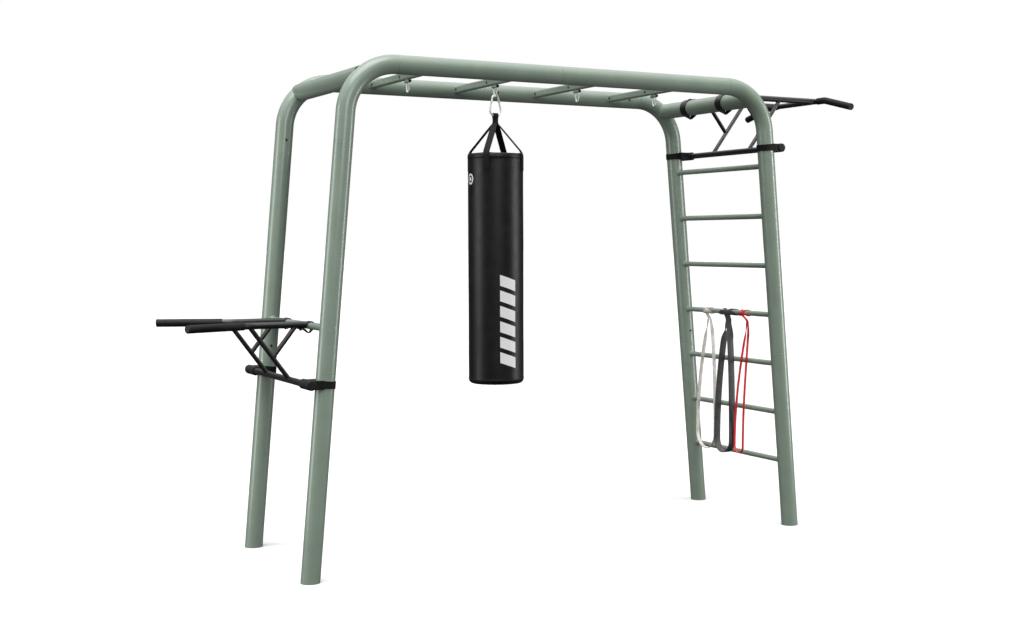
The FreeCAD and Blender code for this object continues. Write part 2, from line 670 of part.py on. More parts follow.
# ---------------- dip bars and pull-up bar ----------------
def hook_strip(axis, tube_r, width, end):
    """A flat steel strip bent over a tube's top and inner side, with a tongue that runs outwards."""
    inner = tube_r + STRIP_FIT
    outer = inner + STRIP_THICK
    tip = V(TIP_SHARE * tube_r, 0, -(tube_r + KEEPER_DROP))

    def at(radius, angle):
        return V(radius * math.cos(angle), 0, radius * math.sin(angle))

    middle_angle = (math.pi / 2 + STRIP_WRAP) / 2
    tip_way = unit(tip - at(inner, STRIP_WRAP))
    tip_side = V(tip_way.z, 0, -tip_way.x) * STRIP_THICK
    edges = [
        Part.makeLine(at(inner, 0), at(outer, 0)),
        Part.Arc(at(outer, 0), at(outer, middle_angle), at(outer, STRIP_WRAP)).toShape(),
        Part.makeLine(at(outer, STRIP_WRAP), tip + tip_side),
        Part.makeLine(tip + tip_side, tip),
        Part.makeLine(tip, at(inner, STRIP_WRAP)),
        Part.Arc(at(inner, STRIP_WRAP), at(inner, middle_angle), at(inner, 0)).toShape(),
    ]
    strip = Part.Face(Part.Wire(edges)).extrude(V(0, width, 0))
    strip.translate(V(0, -width / 2, 0))
    return placed_outward(strip.cut(tongue_sides(tube_r, width)), axis, end)


def tongue_sides(tube_r, width):
    """What is cut away at both sides of a strip's end to leave a narrow tip."""
    high = -tube_r
    low = high - 2 * KEEPER_DROP
    tip_z = high - KEEPER_DROP
    sides = []
    for way in (-1, 1):
        edge = way * width / 2
        tip_edge = way * TIP_WIDTH / 2
        outline = [V(-2 * tube_r, 2 * edge, high), V(-2 * tube_r, edge, high),
                   V(-2 * tube_r, tip_edge, tip_z), V(-2 * tube_r, tip_edge, low),
                   V(-2 * tube_r, 2 * edge, low)]
        sides.append(prism(outline, V(4 * tube_r, 0, 0)))
    return group(sides)


def placed_outward(shape, axis, end):
    """Turns a shape drawn with +X outward to face its end of the frame, at a tube's axis."""
    if end < 0:
        shape = shape.mirror(V(0, 0, 0), ALONG_X)
    shape.translate(axis)
    return shape


def keeper_strip(axis, tube_r, arm_low, width, end):
    """The bent plate under an arm that closes the hook's mouth, and the bolt that holds it."""
    tip = V(TIP_SHARE * tube_r + KEEPER_GAP, 0, -(tube_r + KEEPER_DROP))
    heel = V(1.5 * tube_r + KEEPER_HEEL, 0, arm_low)
    toe = heel + V(KEEPER_TOE, 0, 0)
    fall = unit(heel - tip)
    side = V(fall.z, 0, -fall.x) * STRIP_THICK
    outline = [tip, heel, toe, toe - V(0, 0, STRIP_THICK),
               heel + V(side.x, 0, -STRIP_THICK), tip + side]
    plate = prism(outline, V(0, width, 0))
    plate.translate(V(0, -width / 2, 0))
    plate = plate.cut(tongue_sides(tube_r, width))
    bolt_at = V(toe.x - KEEPER_TOE / 2, 0, arm_low - STRIP_THICK)
    bolt = Part.makeCylinder(NUT_R, NUT_LENGTH, bolt_at, -ALONG_Z)
    return placed_outward(plate, axis, end), placed_outward(bolt, axis, end)


def strut_between(start, end_point, cutters):
    """A strut tube between two tube axes, cut back to their surfaces."""
    solid = rod(start, end_point, STRUT_R)
    for cutter in cutters:
        solid = solid.cut(cutter)
    return solid.cut(rod(start, end_point, STRUT_R - STRUT_WALL))


def make_bracket_side(y, arm_z, crossbar, strut_x, brace_x, arm_solid):
    """The strut and the brace under one arm."""
    foot = V(crossbar.x, y, crossbar.z)
    head = V(strut_x, y, arm_z)
    crossbar_rod = rod(V(crossbar.x, -CROSSBAR_HALF, crossbar.z),
                       V(crossbar.x, CROSSBAR_HALF, crossbar.z), CROSSBAR_R)
    strut = strut_between(foot, head, [crossbar_rod, arm_solid])
    joint = foot + (head - foot) * BRACE_AT
    brace = strut_between(joint, V(brace_x, y, arm_z), [rod(foot, head, STRUT_R), arm_solid])
    return strut, brace


def make_dip_bars():
    """The dip-bar frame that hooks over the left rung."""
    axis_x = -leg_x(DIP_RUNG_Z)
    crossbar = V(DIP_CROSSBAR_X, 0, DIP_CROSSBAR_Z)
    bars = []
    grips = []
    hooks = []
    keepers = []
    bolts = []
    struts = []
    for side in (-1, 1):
        y = side * BRACKET_Y
        axis = V(axis_x, y, DIP_RUNG_Z)
        points = [V(axis_x, y, DIP_ARM_Z), V(DIP_BEND_X, y, DIP_ARM_Z),
                  V(DIP_END_X, side * DIP_END_Y, DIP_ARM_Z)]
        outer = bent_rod(points, ARM_BEND_R, ARM_R)
        inner = bent_rod(points, ARM_BEND_R, ARM_R - ARM_WALL)
        strip_r = DIP_RUNG_R + STRIP_FIT + STRIP_THICK
        strip_core = rod(axis - HALF_CUT, axis + HALF_CUT, strip_r)
        bars.append(outer.cut(inner).cut(strip_core))
        run = unit(points[2] - points[1])
        grip_start = points[1] + run * ((DIP_GRIP_START_X - DIP_BEND_X) / run.x)
        cap_end = points[2] + run * GRIP_CAP
        grip = rod(grip_start, cap_end, GRIP_R)
        rims = [edge for edge in grip.Edges if len(edge.Vertexes) == 1]
        grip = grip.makeFillet(GRIP_ROUND, rims)
        grips.append(grip.cut(rod(grip_start - run * BORE_OVERRUN, points[2], ARM_R)))
        hooks.append(hook_strip(axis, DIP_RUNG_R, DIP_STRIP_WIDTH, -1))
        arm_low = DIP_ARM_Z - ARM_R - DIP_RUNG_Z
        keeper, bolt = keeper_strip(axis, DIP_RUNG_R, arm_low, DIP_STRIP_WIDTH, -1)
        keepers.append(keeper)
        bolts.append(bolt)
        struts.extend(make_bracket_side(y, DIP_ARM_Z, crossbar,
                                        DIP_STRUT_X, DIP_BRACE_X, outer))
    parts["dip_bars"] = group(bars)
    parts["dip_grips"] = group(grips)
    parts["dip_hooks"] = group(hooks + keepers)
    parts["dip_struts"] = group(struts)
    parts["dip_crossbar"] = tube(crossbar - V(0, CROSSBAR_HALF, 0), crossbar + V(0, CROSSBAR_HALF, 0),
                                 CROSSBAR_R, ARM_WALL)
    return bolts


def make_pullup_bar(cross_x, cross_z):
    """The pull-up frame that hooks over the right cross tube."""
    crossbar = V(PULLUP_CROSSBAR_X, 0, PULLUP_CROSSBAR_Z)

    def bar_point(y, z=PULLUP_ARM_Z):
        return V(PULLUP_BAR_X, PULLUP_MIDDLE_Y + y, z)

    bar_points = [bar_point(-PULLUP_END_Y, PULLUP_END_Z), bar_point(-PULLUP_BEND_Y),
                  bar_point(PULLUP_BEND_Y), bar_point(PULLUP_END_Y, PULLUP_END_Z)]
    bar_outer = bent_rod(bar_points, BAR_BEND_R, PULLUP_BAR_R)
    parts["pullup_bar"] = bar_outer.cut(bent_rod(bar_points, BAR_BEND_R, PULLUP_BAR_R - ARM_WALL))
    arms = []
    grips = []
    hooks = []
    keepers = []
    bolts = []
    struts = []
    for side in (-1, 1):
        y = PULLUP_MIDDLE_Y + side * BRACKET_Y
        axis = V(cross_x, y, cross_z)
        start = V(cross_x, y, PULLUP_ARM_Z)
        finish = V(PULLUP_BAR_X, y, PULLUP_ARM_Z)
        arm_outer = rod(start, finish, ARM_R)
        strip_r = CROSS_R + STRIP_FIT + STRIP_THICK
        strip_core = rod(axis - HALF_CUT, axis + HALF_CUT, strip_r)
        bar_rod = rod(finish - HALF_CUT, finish + HALF_CUT, PULLUP_BAR_R)
        arm = arm_outer.cut(rod(start, finish, ARM_R - ARM_WALL)).cut(strip_core).cut(bar_rod)
        arms.append(outermost(arm))
        run_end = bar_point(side * PULLUP_END_Y, PULLUP_END_Z)
        bend = bar_point(side * PULLUP_BEND_Y)
        run = unit(run_end - bend)
        grip_points = [bar_point(side * PULLUP_GRIP_Y), bend, run_end + run * GRIP_CAP]
        bore_points = [bar_point(side * (PULLUP_GRIP_Y - BORE_OVERRUN)), bend, run_end]
        grips.append(bent_rod(grip_points, BAR_BEND_R, GRIP_R)
                     .cut(bent_rod(bore_points, BAR_BEND_R, PULLUP_BAR_R)))
        hooks.append(hook_strip(axis, CROSS_R, PULLUP_STRIP_WIDTH, 1))
        arm_low = PULLUP_ARM_Z - ARM_R - cross_z
        keeper, bolt = keeper_strip(axis, CROSS_R, arm_low, PULLUP_STRIP_WIDTH, 1)
        keepers.append(keeper)
        bolts.append(bolt)
        struts.extend(make_bracket_side(y, PULLUP_ARM_Z, crossbar,
                                        PULLUP_STRUT_X, PULLUP_BRACE_X, arm_outer))
    parts["pullup_arms"] = group(arms)
    parts["pullup_grips"] = group(grips)
    parts["pullup_hooks"] = group(hooks + keepers)
    parts["pullup_struts"] = group(struts)
    parts["pullup_crossbar"] = tube(crossbar - V(0, CROSSBAR_HALF, 0),
                                    crossbar + V(0, CROSSBAR_HALF, 0), CROSSBAR_R, ARM_WALL)
    return bolts


def outermost(shape):
    """The largest solid of a cut shape, without the offcuts inside."""
    return max(shape.Solids, key=lambda solid: solid.Volume)


def make_end_blocks_and_straps(bolts):
    """The rubber blocks on the crossbars' ends and the straps that tie them to the legs."""
    blocks = []
    straps = []
    for end, bar_x, bar_z in ((-1, DIP_CROSSBAR_X, DIP_CROSSBAR_Z),
                              (1, PULLUP_CROSSBAR_X, PULLUP_CROSSBAR_Z)):
        for side in (-1, 1):
            leg_at = leg_point(end, side, bar_z)
            leg_low = leg_point(end, side, bar_z - BEND_R)
            leg_high = leg_point(end, side, bar_z + BEND_R)
            low_y = BLOCK_IN_Y if side > 0 else -BLOCK_OUT_Y
            length = BLOCK_OUT_Y - BLOCK_IN_Y
            barrel = Part.makeCylinder(BLOCK_R, length, V(bar_x, low_y, bar_z), ALONG_Y)
            rims = [edge for edge in barrel.Edges if len(edge.Vertexes) == 1]
            barrel = barrel.makeFillet(BLOCK_ROUND, rims)
            reach = abs(bar_x - leg_at.x) - PAD_CLEAR
            pad_low_x = bar_x if end < 0 else bar_x - reach
            pad = Part.makeBox(reach, length - 2 * BLOCK_ROUND, 2 * PAD_HALF,
                               V(pad_low_x, low_y + BLOCK_ROUND, bar_z - PAD_HALF))
            block = barrel.fuse(pad).cut(rod(leg_low, leg_high, FRAME_R + BLOCK_FIT))
            block = outermost(block)
            bore_end = V(bar_x, side * CROSSBAR_HALF, bar_z)
            block = block.cut(rod(V(bar_x, 0, bar_z), bore_end, CROSSBAR_R))
            blocks.append(block)
            strap = leg_strap(end, leg_at, block, abs(bar_x - leg_at.x))
            straps.append(outermost(strap.cut(bolts)))
    parts["end_blocks"] = group(blocks)
    parts["leg_straps"] = group(straps)


def leg_strap(end, leg_at, block, reach):
    """A flat strap round the inner side of a leg, with both runs ending on the block."""
    inner_r = FRAME_R + BLOCK_FIT
    outer_r = inner_r + LEG_STRAP_THICK
    low = V(0, 0, -LEG_STRAP_HEIGHT / 2)

    def loop(radius):
        ring = Part.makeCylinder(radius, LEG_STRAP_HEIGHT, low)
        runs = Part.makeBox(reach, 2 * radius, LEG_STRAP_HEIGHT, low - V(0, radius, 0))
        return ring.fuse(runs)

    cut_end = Part.makeBox(2 * reach, 4 * outer_r, LEG_STRAP_HEIGHT,
                           low + V(FRAME_R * STRAP_END_SHARE, -2 * outer_r, 0))
    strap = loop(outer_r).cut(loop(inner_r)).cut(cut_end).removeSplitter()
    strap.rotate(V(0, 0, 0), ALONG_Y, -math.degrees(SPLAY))
    strap = placed_outward(strap, leg_at, end)
    return outermost(strap.cut(block))


# ---------------- exercise bands ----------------
def make_bands():
    """Three flat rubber loops hitched on a ladder rung: the hitch and the hanging loop of each."""
    axis = ladder_point(BAND_RUNG)
    inner_r = LADDER_R + BAND_CLEAR
    outer_r = inner_r + BAND_THICK
    for band in BANDS:
        width = band["width"]
        half_span = band["spacing"] / 2 + width
        wraps = []
        for wrap_y in (band["hitch_y"] - half_span, band["hitch_y"] + half_span - width):
            wraps.append(Part.makeCylinder(outer_r, width, V(axis.x, wrap_y, axis.z), ALONG_Y))
        bight = Part.makeBox(BAND_THICK, 2 * half_span, BIGHT_HEIGHT,
                             V(axis.x - outer_r - BIGHT_RUN, band["hitch_y"] - half_span,
                               axis.z - BIGHT_HEIGHT / 2))
        hitch = wraps[0].fuse(wraps[1]).fuse(bight)
        bore = rod(axis - ALONG_Y * SIDE_Y, axis + ALONG_Y * SIDE_Y, inner_r)
        parts["band_" + band["name"] + "_hitch"] = hitch.cut(bore).removeSplitter()
        parts["band_" + band["name"] + "_loop"] = hanging_loop(axis, band)


def hanging_loop(axis, band):
    """The bowed drop that a band hangs in, its flat width along X; its top is off to one side."""
    outer_peak = V(0, band["exit_y"], axis.z - BAND_DROP)
    radius = band["loop_width"] / 2
    centre = V(0, band["loop_y"], band["low_z"] + radius)
    inner_peak = outer_peak + (centre - outer_peak) * BAND_PEAK_SHARE
    loop = bowed_drop(outer_peak, centre, radius)
    loop = loop.cut(bowed_drop(inner_peak, centre, radius - BAND_THICK))
    loop = loop.extrude(V(band["width"], 0, 0))
    blunt = Part.makeBox(4 * FRAME_R, 2 * SIDE_Y, FRAME_R,
                         V(-2 * FRAME_R, -SIDE_Y, outer_peak.z - BAND_BLUNT))
    loop = loop.cut(blunt)
    loop.translate(V(axis.x + band["loop_x"] - band["width"] / 2, 0, 0))
    return loop


def bowed_drop(peak, centre, radius):
    """A face that swells from a peak, with both sides bowed out, to a circle's lower half."""
    def side_point(share, way):
        ease = math.sin(share * math.pi / 2)
        middle_y = peak.y + (centre.y - peak.y) * ease
        height = peak.z + (centre.z - peak.z) * share
        return V(0, middle_y + way * radius * ease ** BAND_BOW, height)

    sides = []
    for way in (1, -1):
        curve = Part.BSplineCurve()
        curve.interpolate([side_point(step / BAND_BOW_STEPS, way)
                           for step in range(BAND_BOW_STEPS + 1)])
        sides.append(curve.toShape())
    lower = Part.Arc(side_point(1, 1), centre - ALONG_Z * radius, side_point(1, -1)).toShape()
    return Part.Face(Part.Wire([sides[0], lower, sides[1]]))


# ---------------- build and write ----------------
def build():
    seam_bolts, holes, round_sleeves = make_joint_parts()
    for side in (-1, 1):
        make_side_frame(side, holes)
    cross_x, cross_z = make_cross_tubes()
    stubs, rung_bolts = make_monkey_rungs()
    make_ladder()
    parts["inner_sleeves"] = group(round_sleeves + stubs)
    parts["frame_bolts"] = group(seam_bolts + rung_bolts)
    make_hook_lugs()
    make_swing_hooks()
    make_carabiner()
    make_punch_bag()
    keeper_bolts = make_dip_bars() + make_pullup_bar(cross_x, cross_z)
    parts["keeper_bolts"] = group(keeper_bolts)
    make_end_blocks_and_straps(group(seam_bolts))
    make_bands()


def write_parts():
    os.makedirs("parts", exist_ok=True)
    for name, shape in parts.items():
        shape.translate(V(-BOX_MIDDLE_X, 0, 0))
        shape.exportStep("parts/" + name + ".step")


build()
write_parts()
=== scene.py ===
"""Monkey bars with a ladder, dip bars, a pull-up bar, a punch bag and exercise bands."""

import json
import math

import bmesh
import bpy
from bpy.props import FloatProperty, FloatVectorProperty, IntProperty, PointerProperty
from mathutils import Matrix, Vector, noise


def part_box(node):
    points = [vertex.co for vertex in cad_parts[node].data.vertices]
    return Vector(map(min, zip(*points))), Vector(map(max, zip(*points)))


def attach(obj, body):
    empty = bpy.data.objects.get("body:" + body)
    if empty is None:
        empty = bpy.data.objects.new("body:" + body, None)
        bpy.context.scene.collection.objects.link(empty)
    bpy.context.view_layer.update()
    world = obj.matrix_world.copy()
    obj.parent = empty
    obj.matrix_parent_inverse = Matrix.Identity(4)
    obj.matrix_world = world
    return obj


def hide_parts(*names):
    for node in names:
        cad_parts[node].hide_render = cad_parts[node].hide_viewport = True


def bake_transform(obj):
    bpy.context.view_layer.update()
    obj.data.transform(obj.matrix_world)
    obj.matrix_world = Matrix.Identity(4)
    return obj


bl_info = {
    "name": "Monkey Bars",
    "version": (1, 0, 0),
    "blender": (4, 5, 0),
    "location": "View3D > Sidebar > Monkey Bars",
    "description": "Builds the looks of a set of monkey bars round its measured frame",
    "category": "Object",
}

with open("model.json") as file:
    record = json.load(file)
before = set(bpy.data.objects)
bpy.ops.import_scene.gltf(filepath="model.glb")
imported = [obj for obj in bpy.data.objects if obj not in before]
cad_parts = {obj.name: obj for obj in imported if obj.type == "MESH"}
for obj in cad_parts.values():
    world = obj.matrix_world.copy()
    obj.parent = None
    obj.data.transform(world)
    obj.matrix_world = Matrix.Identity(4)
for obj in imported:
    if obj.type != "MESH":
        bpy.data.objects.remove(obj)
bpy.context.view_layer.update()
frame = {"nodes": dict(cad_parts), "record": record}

FULL_TURN = 2 * math.pi
QUARTER_TURN = math.pi / 2
X_AXIS = Vector((1, 0, 0))
Y_AXIS = Vector((0, 1, 0))
Z_AXIS = Vector((0, 0, 1))

TOP_TUBES = ("top_tube_front_left", "top_tube_rear_left")
BAND_COLOURS = ("cream", "grey", "red")
RUNG_COUNT = 4
RUNG_CORNER = 0.008         # corner radius of an overhead rung
RUNG_REACH = 0.045          # points of one round rung lie within this height of each other
END_REACH = 0.012           # points of a tube's cut end lie within this height of each other
RIPPLE, RIPPLE_TURN = 0.14, 2.1     # how much and how often a weld bead swells
CORNER_STEPS = 7

# The bag's print: slanted bars in a column, and a ring with a dot.
BARS_LOW, BARS_HIGH = 0.100, 0.565
BAR_HALF_WIDTH, BAR_PITCH, BAR_SLOPE, BAR_SHARE = 0.044, 0.079, 0.34, 0.70
RING_DROP, RING_OUTER, RING_INNER, RING_DOT = 0.135, 0.028, 0.019, 0.010

# The bag's outline, as steps out and up. The crown and the lid count out in shares of the
# radius and up from the bottom or the top. The hem and the rim count out from the radius.
CROWN_STEPS = ((0.4, 0.0012), (0.7, 0.0006))
HEM_STEPS = ((-0.0010, -0.0006), (0.0003, 0), (0.0004, 0.006), (0.0002, 0.014))
RIM_STEPS = ((-0.0006, -0.006), (-0.0022, -0.0015), (-0.0042, 0), (-0.0064, -0.0015),
             (-0.0076, -0.006), (-0.009, -0.013), (-0.016, -0.0145))
LID_STEPS = ((0.6, -0.012), (0.3, -0.0105))
CROWN_MIDDLE, LID_MIDDLE = (0.0005, 0.002), (0.0005, -0.010)
ROUND_STEPS, WALL_STEPS = 7, 56
ROUND_INSET, WALL_INSET, WALL_GAP, SEAM_GAP = 0.0006, 0.0012, 0.003, 0.010

# The cover as cloth, and the small unevenness of a packed bag.
CLOTH = {"quality": 4, "mass": 0.6, "tension_stiffness": 60, "compression_stiffness": 60,
         "bending_stiffness": 4, "use_pressure": True, "uniform_pressure_force": 3.0,
         "vertex_group_mass": "Held"}
CLOTH_FRAMES = 14
LUMP, LUMP_ACROSS, LUMP_UP, LUMP_MARGIN = 0.0010, 5, 4, 0.03
STRAP_SPREAD = 13           # degrees to each side of a strap where it pulls the rim
RIM_HEIGHT, RIM_PULL, RIM_SAG = 0.026, 0.0075, 0.0035

# Stitches: the length of one, the gap after it and the thread's radius.
HEM_STITCH = (0.0042, 0.0016, 0.0005)
SLING_STITCH = (0.0034, 0.001, 0.0005)
BOX_STITCH = (0.0012, 0.00055)      # its length is a setting

# A strap's run, as steps out and up: over the rim, then from the gather into the sling.
STRAP_GAP = 0.0006
STRAP_SEWN = 0.03
OVER_RIM = ((0, -0.034), (-0.0002, -0.014), (-0.0035, -0.002), (-0.012, 0.012))
GATHER = 0.010
INTO_SLING = ((0, -0.012), (-0.002, -0.006), (-0.003, 0.001))
FREE_STEPS = 15
NECKING, NECKING_HEIGHT = 0.28, 0.05

# The sling: two layers bent round the carabiner's wire, sewn together below it.
SLING_WIDTH, SLING_BEND, SLING_GAP, SLING_CURL = 0.027, 0.0072, 0.0012, 0.030
SLING_FOOT, SLING_LEG, SLING_LIFT = 0.0005, 0.007, (0.006, 0.012)
BEND_START, BEND_TURN, BEND_STEPS = math.radians(205), math.radians(230), 12
WIRE_RADIUS = 0.005

# A band below its hitch: heights under the rung's axis between which each change happens.
BAND_PEAK, BAND_NECK, BAND_SETTLE = 0.026, 0.010, 0.030
BAND_LEAVE = (0.008, 0.048)
BAND_TWIST = (0.17, 0.05)
BAND_PINCH = (0.13, 0.04)
BAND_FORWARD = (0.12, 0.03)
BAND_BOW = 0.7
WIDE_BAND, WIDE_GATHER, THIN_GATHER = 0.03, 0.62, 0.7
LAYER_TURN = 5200.0         # radians of the layers' lines in a metre across the band

# A band's hitch: its wrap round the rung, and the bight that holds it in front.
STRAND_GAP, BIGHT_GAP, BIGHT_DROP = 0.0012, 0.0008, 0.003
WRAP_TURN, WRAP_SPREAD = math.radians(300), math.radians(170)
BIGHT_SHARE, BIGHT_LEAST, BIGHT_BULGE = 0.9, 0.010, 0.001
BEND_COUNT, HANG_COUNT, WRAP_COUNT, RISE_COUNT, BIGHT_COUNT = 12, 60, 22, 8, 5


# ---------------- sizes and colours that a user would change ----------------
def colour_setting(name, description, default):
    return FloatVectorProperty(name=name, description=description, subtype="COLOR", size=3,
                               min=0, max=1, default=default)


def length_setting(name, description, default, **limits):
    return FloatProperty(name=name, description=description, subtype="DISTANCE",
                         unit="LENGTH", default=default, **limits)


class PaintSettings(bpy.types.PropertyGroup):
    green: colour_setting("Frame paint", "Colour of the frame's powder coat",
                          (0.212, 0.270, 0.216))
    black: colour_setting("Bar paint", "Colour of the powder coat on the add-on bars",
                          (0.006, 0.006, 0.006))
    pebble: length_setting("Orange peel", "Size of the pebbles in the powder coat",
                           0.0011, min=0.0002)
    bead: length_setting("Weld bead", "Radius of the weld beads under the paint",
                         0.005, min=0.0005)


class BagSettings(bpy.types.PropertyGroup):
    vinyl: colour_setting("Vinyl", "Colour of the bag's cover", (0.0035, 0.0035, 0.0037))
    hem: length_setting("Hem", "Height of the folded hem at the bag's top", 0.028)
    bottom_round: length_setting("Bottom round", "Radius of the bag's bottom edge", 0.024)
    piping: length_setting("Piping", "Radius of the piping round the bottom seam", 0.0018)
    sections: IntProperty(
        name="Sections", description="Number of faces round the bag", default=120, min=24)
    most_swell: length_setting("Most swell", "How far the filling may push the cover out", 0.0022)


class StrapSettings(bpy.types.PropertyGroup):
    webbing: colour_setting("Webbing", "Colour of the straps", (0.004, 0.004, 0.0043))
    width: length_setting("Strap width", "Width of the bag's straps", 0.034)
    thickness: length_setting("Strap thickness", "Thickness of the bag's straps", 0.0026)
    stitch: length_setting("Stitch", "Length of one stitch", 0.0042)


class BandSettings(bpy.types.PropertyGroup):
    thickness: length_setting("Band thickness", "Thickness of the exercise bands", 0.0042)
    cream: colour_setting("Light band", "Colour of the light band", (0.62, 0.58, 0.53))
    grey: colour_setting("Heavy band", "Colour of the heavy band", (0.045, 0.045, 0.047))
    red: colour_setting("Thin band", "Colour of the thin band", (0.64, 0.012, 0.018))


class StageSettings(bpy.types.PropertyGroup):
    floor: colour_setting("Floor", "Colour of the floor", (0.86, 0.86, 0.86))
    lens: FloatProperty(
        name="Lens", description="Focal length of the camera", default=49.744, min=10)
    eye: FloatVectorProperty(
        name="Camera", description="Where the camera stands, from the middle of the rungs",
        subtype="TRANSLATION", unit="LENGTH", size=3, default=(-3.451, -6.700, 1.5656))
    heading: FloatProperty(
        name="Heading", description="Turn of the camera about the vertical",
        subtype="ANGLE", unit="ROTATION", default=math.radians(-29.58))
    dip: FloatProperty(
        name="Dip", description="How far the camera looks down",
        subtype="ANGLE", unit="ROTATION", default=math.radians(3.455))
    sun: FloatProperty(
        name="Top light", description="Strength of the broad light overhead", default=3.2, min=0)
    side: FloatProperty(
        name="Side light", description="Power of the strip lights at the sides",
        subtype="POWER", unit="POWER", default=260, min=0)


class MonkeyBarsSettings(bpy.types.PropertyGroup):
    paint: PointerProperty(type=PaintSettings, name="Paint", description="Paint and welds")
    bag: PointerProperty(type=BagSettings, name="Bag", description="Punch bag")
    strap: PointerProperty(type=StrapSettings, name="Straps", description="Bag straps")
    band: PointerProperty(type=BandSettings, name="Bands", description="Exercise bands")
    stage: PointerProperty(type=StageSettings, name="Stage", description="Floor, lights, camera")


# ---------------- shader nodes ----------------
def give(tree, socket, value):
    """Links an input to a node's output, or sets its value."""
    if isinstance(value, bpy.types.NodeSocket):
        tree.links.new(value, socket)
    else:
        socket.default_value = value


def node(tree, kind, inputs=None, **settings):
    """Adds a shader node, sets its options, and joins or sets its inputs."""
    made = tree.nodes.new(kind)
    made.location = (len(tree.nodes) * 190, 0)
    for name, value in settings.items():
        setattr(made, name, value)
    for name, value in (inputs or {}).items():
        give(tree, made.inputs[name], value)
    return made


def calculate(tree, operation, *values, clamp=False):
    """Adds a Math node and returns its result."""
    inputs = dict(enumerate(values))
    return node(tree, "ShaderNodeMath", inputs, operation=operation, use_clamp=clamp).outputs[0]


def times(tree, first, second, clamp=False):
    return calculate(tree, "MULTIPLY", first, second, clamp=clamp)


def noise_texture(tree, vector, scale, detail, roughness=0.5):
    inputs = {"Vector": vector, "Scale": scale, "Detail": detail, "Roughness": roughness}
    return node(tree, "ShaderNodeTexNoise", inputs).outputs["Fac"]


def mixed_colour(tree, share, first, second, way="MIX"):
    """Mixes two colours by a share."""
    inputs = {0: share, 6: first, 7: second}
    made = node(tree, "ShaderNodeMix", inputs, data_type="RGBA", blend_type=way)
    return made.outputs[2]


def to_range(tree, value, low, high, from_low=0.0, from_high=1.0):
    """Stretches a value to a new range."""
    inputs = {"Value": value, "From Min": from_low, "From Max": from_high,
              "To Min": low, "To Max": high}
    return node(tree, "ShaderNodeMapRange", inputs).outputs["Result"]


def tinted(tree, colour, shade):
    """A plain colour made darker or lighter by a shade."""
    return mixed_colour(tree, 1.0, (*colour, 1), shade, "MULTIPLY")


def start_group(name, numbers, results):
    """Starts a shader node group that takes a vector and numbers, and gives numbers."""
    group = bpy.data.node_groups.new(name, "ShaderNodeTree")
    group.interface.new_socket("Vector", in_out="INPUT", socket_type="NodeSocketVector")
    for label, default in numbers.items():
        made = group.interface.new_socket(label, in_out="INPUT", socket_type="NodeSocketFloat")
        made.default_value = default
    for label in results:
        group.interface.new_socket(label, in_out="OUTPUT", socket_type="NodeSocketFloat")
    return group, group.nodes.new("NodeGroupInput").outputs


def end_group(group, **results):
    """Joins a group's results to its output sockets."""
    leave = group.nodes.new("NodeGroupOutput")
    leave.location = (len(group.nodes) * 190, 0)
    for name, value in results.items():
        group.links.new(value, leave.inputs[name])


def place_group(tree, name, **inputs):
    """Places a node group in a tree and returns its outputs."""
    made = node(tree, "ShaderNodeGroup", node_tree=bpy.data.node_groups[name])
    for label, value in inputs.items():
        give(tree, made.inputs[label], value)
    return made.outputs


def make_coat_grain():
    """Orange peel of a baked powder coat: a fine height and a slow change of gloss."""
    group, given = start_group("Coat grain", {"Pebble": 0.001}, ("Height", "Gloss"))
    scale = calculate(group, "DIVIDE", 1.0, given["Pebble"])
    fine = noise_texture(group, given["Vector"], scale, 1.5, 0.4)
    slow = noise_texture(group, given["Vector"], 9.0, 3.0, 0.55)
    end_group(group, Height=fine, Gloss=to_range(group, slow, -1.0, 1.0, 0.3, 0.7))


def make_edge_wear():
    """Mask of the edges that are rubbed in use, broken up by a grain."""
    group, given = start_group("Edge wear", {"Width": 0.0015, "Amount": 1.0}, ("Mask",))
    rounded = node(group, "ShaderNodeBevel", {"Radius": given["Width"]}, samples=4)
    flat = node(group, "ShaderNodeNewGeometry")
    same = node(group, "ShaderNodeVectorMath",
                {0: rounded.outputs["Normal"], 1: flat.outputs["Normal"]}, operation="DOT_PRODUCT")
    turned = calculate(group, "SUBTRACT", 1.0, same.outputs["Value"])
    grain = noise_texture(group, given["Vector"], 260.0, 3.0, 0.6)
    broken = to_range(group, grain, 0.0, 1.0, 0.42, 0.62)
    worn = times(group, times(group, turned, 9.0), broken)
    end_group(group, Mask=times(group, worn, given["Amount"], clamp=True))


def make_dust():
    """Mask of the thin dust that settles on faces that look up."""
    group, given = start_group("Settled dust", {"Amount": 0.1}, ("Mask",))
    facing = node(group, "ShaderNodeNewGeometry")
    split = node(group, "ShaderNodeSeparateXYZ", {0: facing.outputs["Normal"]})
    upward = to_range(group, split.outputs["Z"], 0.0, 1.0, 0.25, 1.0)
    patches = noise_texture(group, given["Vector"], 22.0, 5.0, 0.65)
    both = times(group, upward, to_range(group, patches, 0.0, 1.0, 0.35, 0.7))
    end_group(group, Mask=times(group, both, given["Amount"], clamp=True))


def make_weave():
    """Flat nylon weave: threads that pass over and under, and painted shade that darkens their gaps
    and lightens the raised threads.
    """
    group, given = start_group("Nylon weave", {"Thread": 0.0015}, ("Height", "Shade"))
    turn = calculate(group, "DIVIDE", math.pi, given["Thread"])
    split = node(group, "ShaderNodeSeparateXYZ", {0: given["Vector"]})
    across = times(group, split.outputs["X"], turn)
    along = times(group, split.outputs["Y"], turn)
    slant = calculate(group, "ADD", along, times(group, across, 0.5))
    product = times(group, calculate(group, "SINE", across), calculate(group, "SINE", slant))
    height = to_range(group, product, 0.0, 1.0, -1.0, 1.0)
    fuzz = times(group, noise_texture(group, given["Vector"], 900.0, 2.0), 0.25)
    # Shade is painted shade: the colour is darker in the gaps between threads and lighter on the
    # raised threads.
    end_group(group, Height=calculate(group, "ADD", height, fuzz),
              Shade=to_range(group, height, 0.65, 1.15))


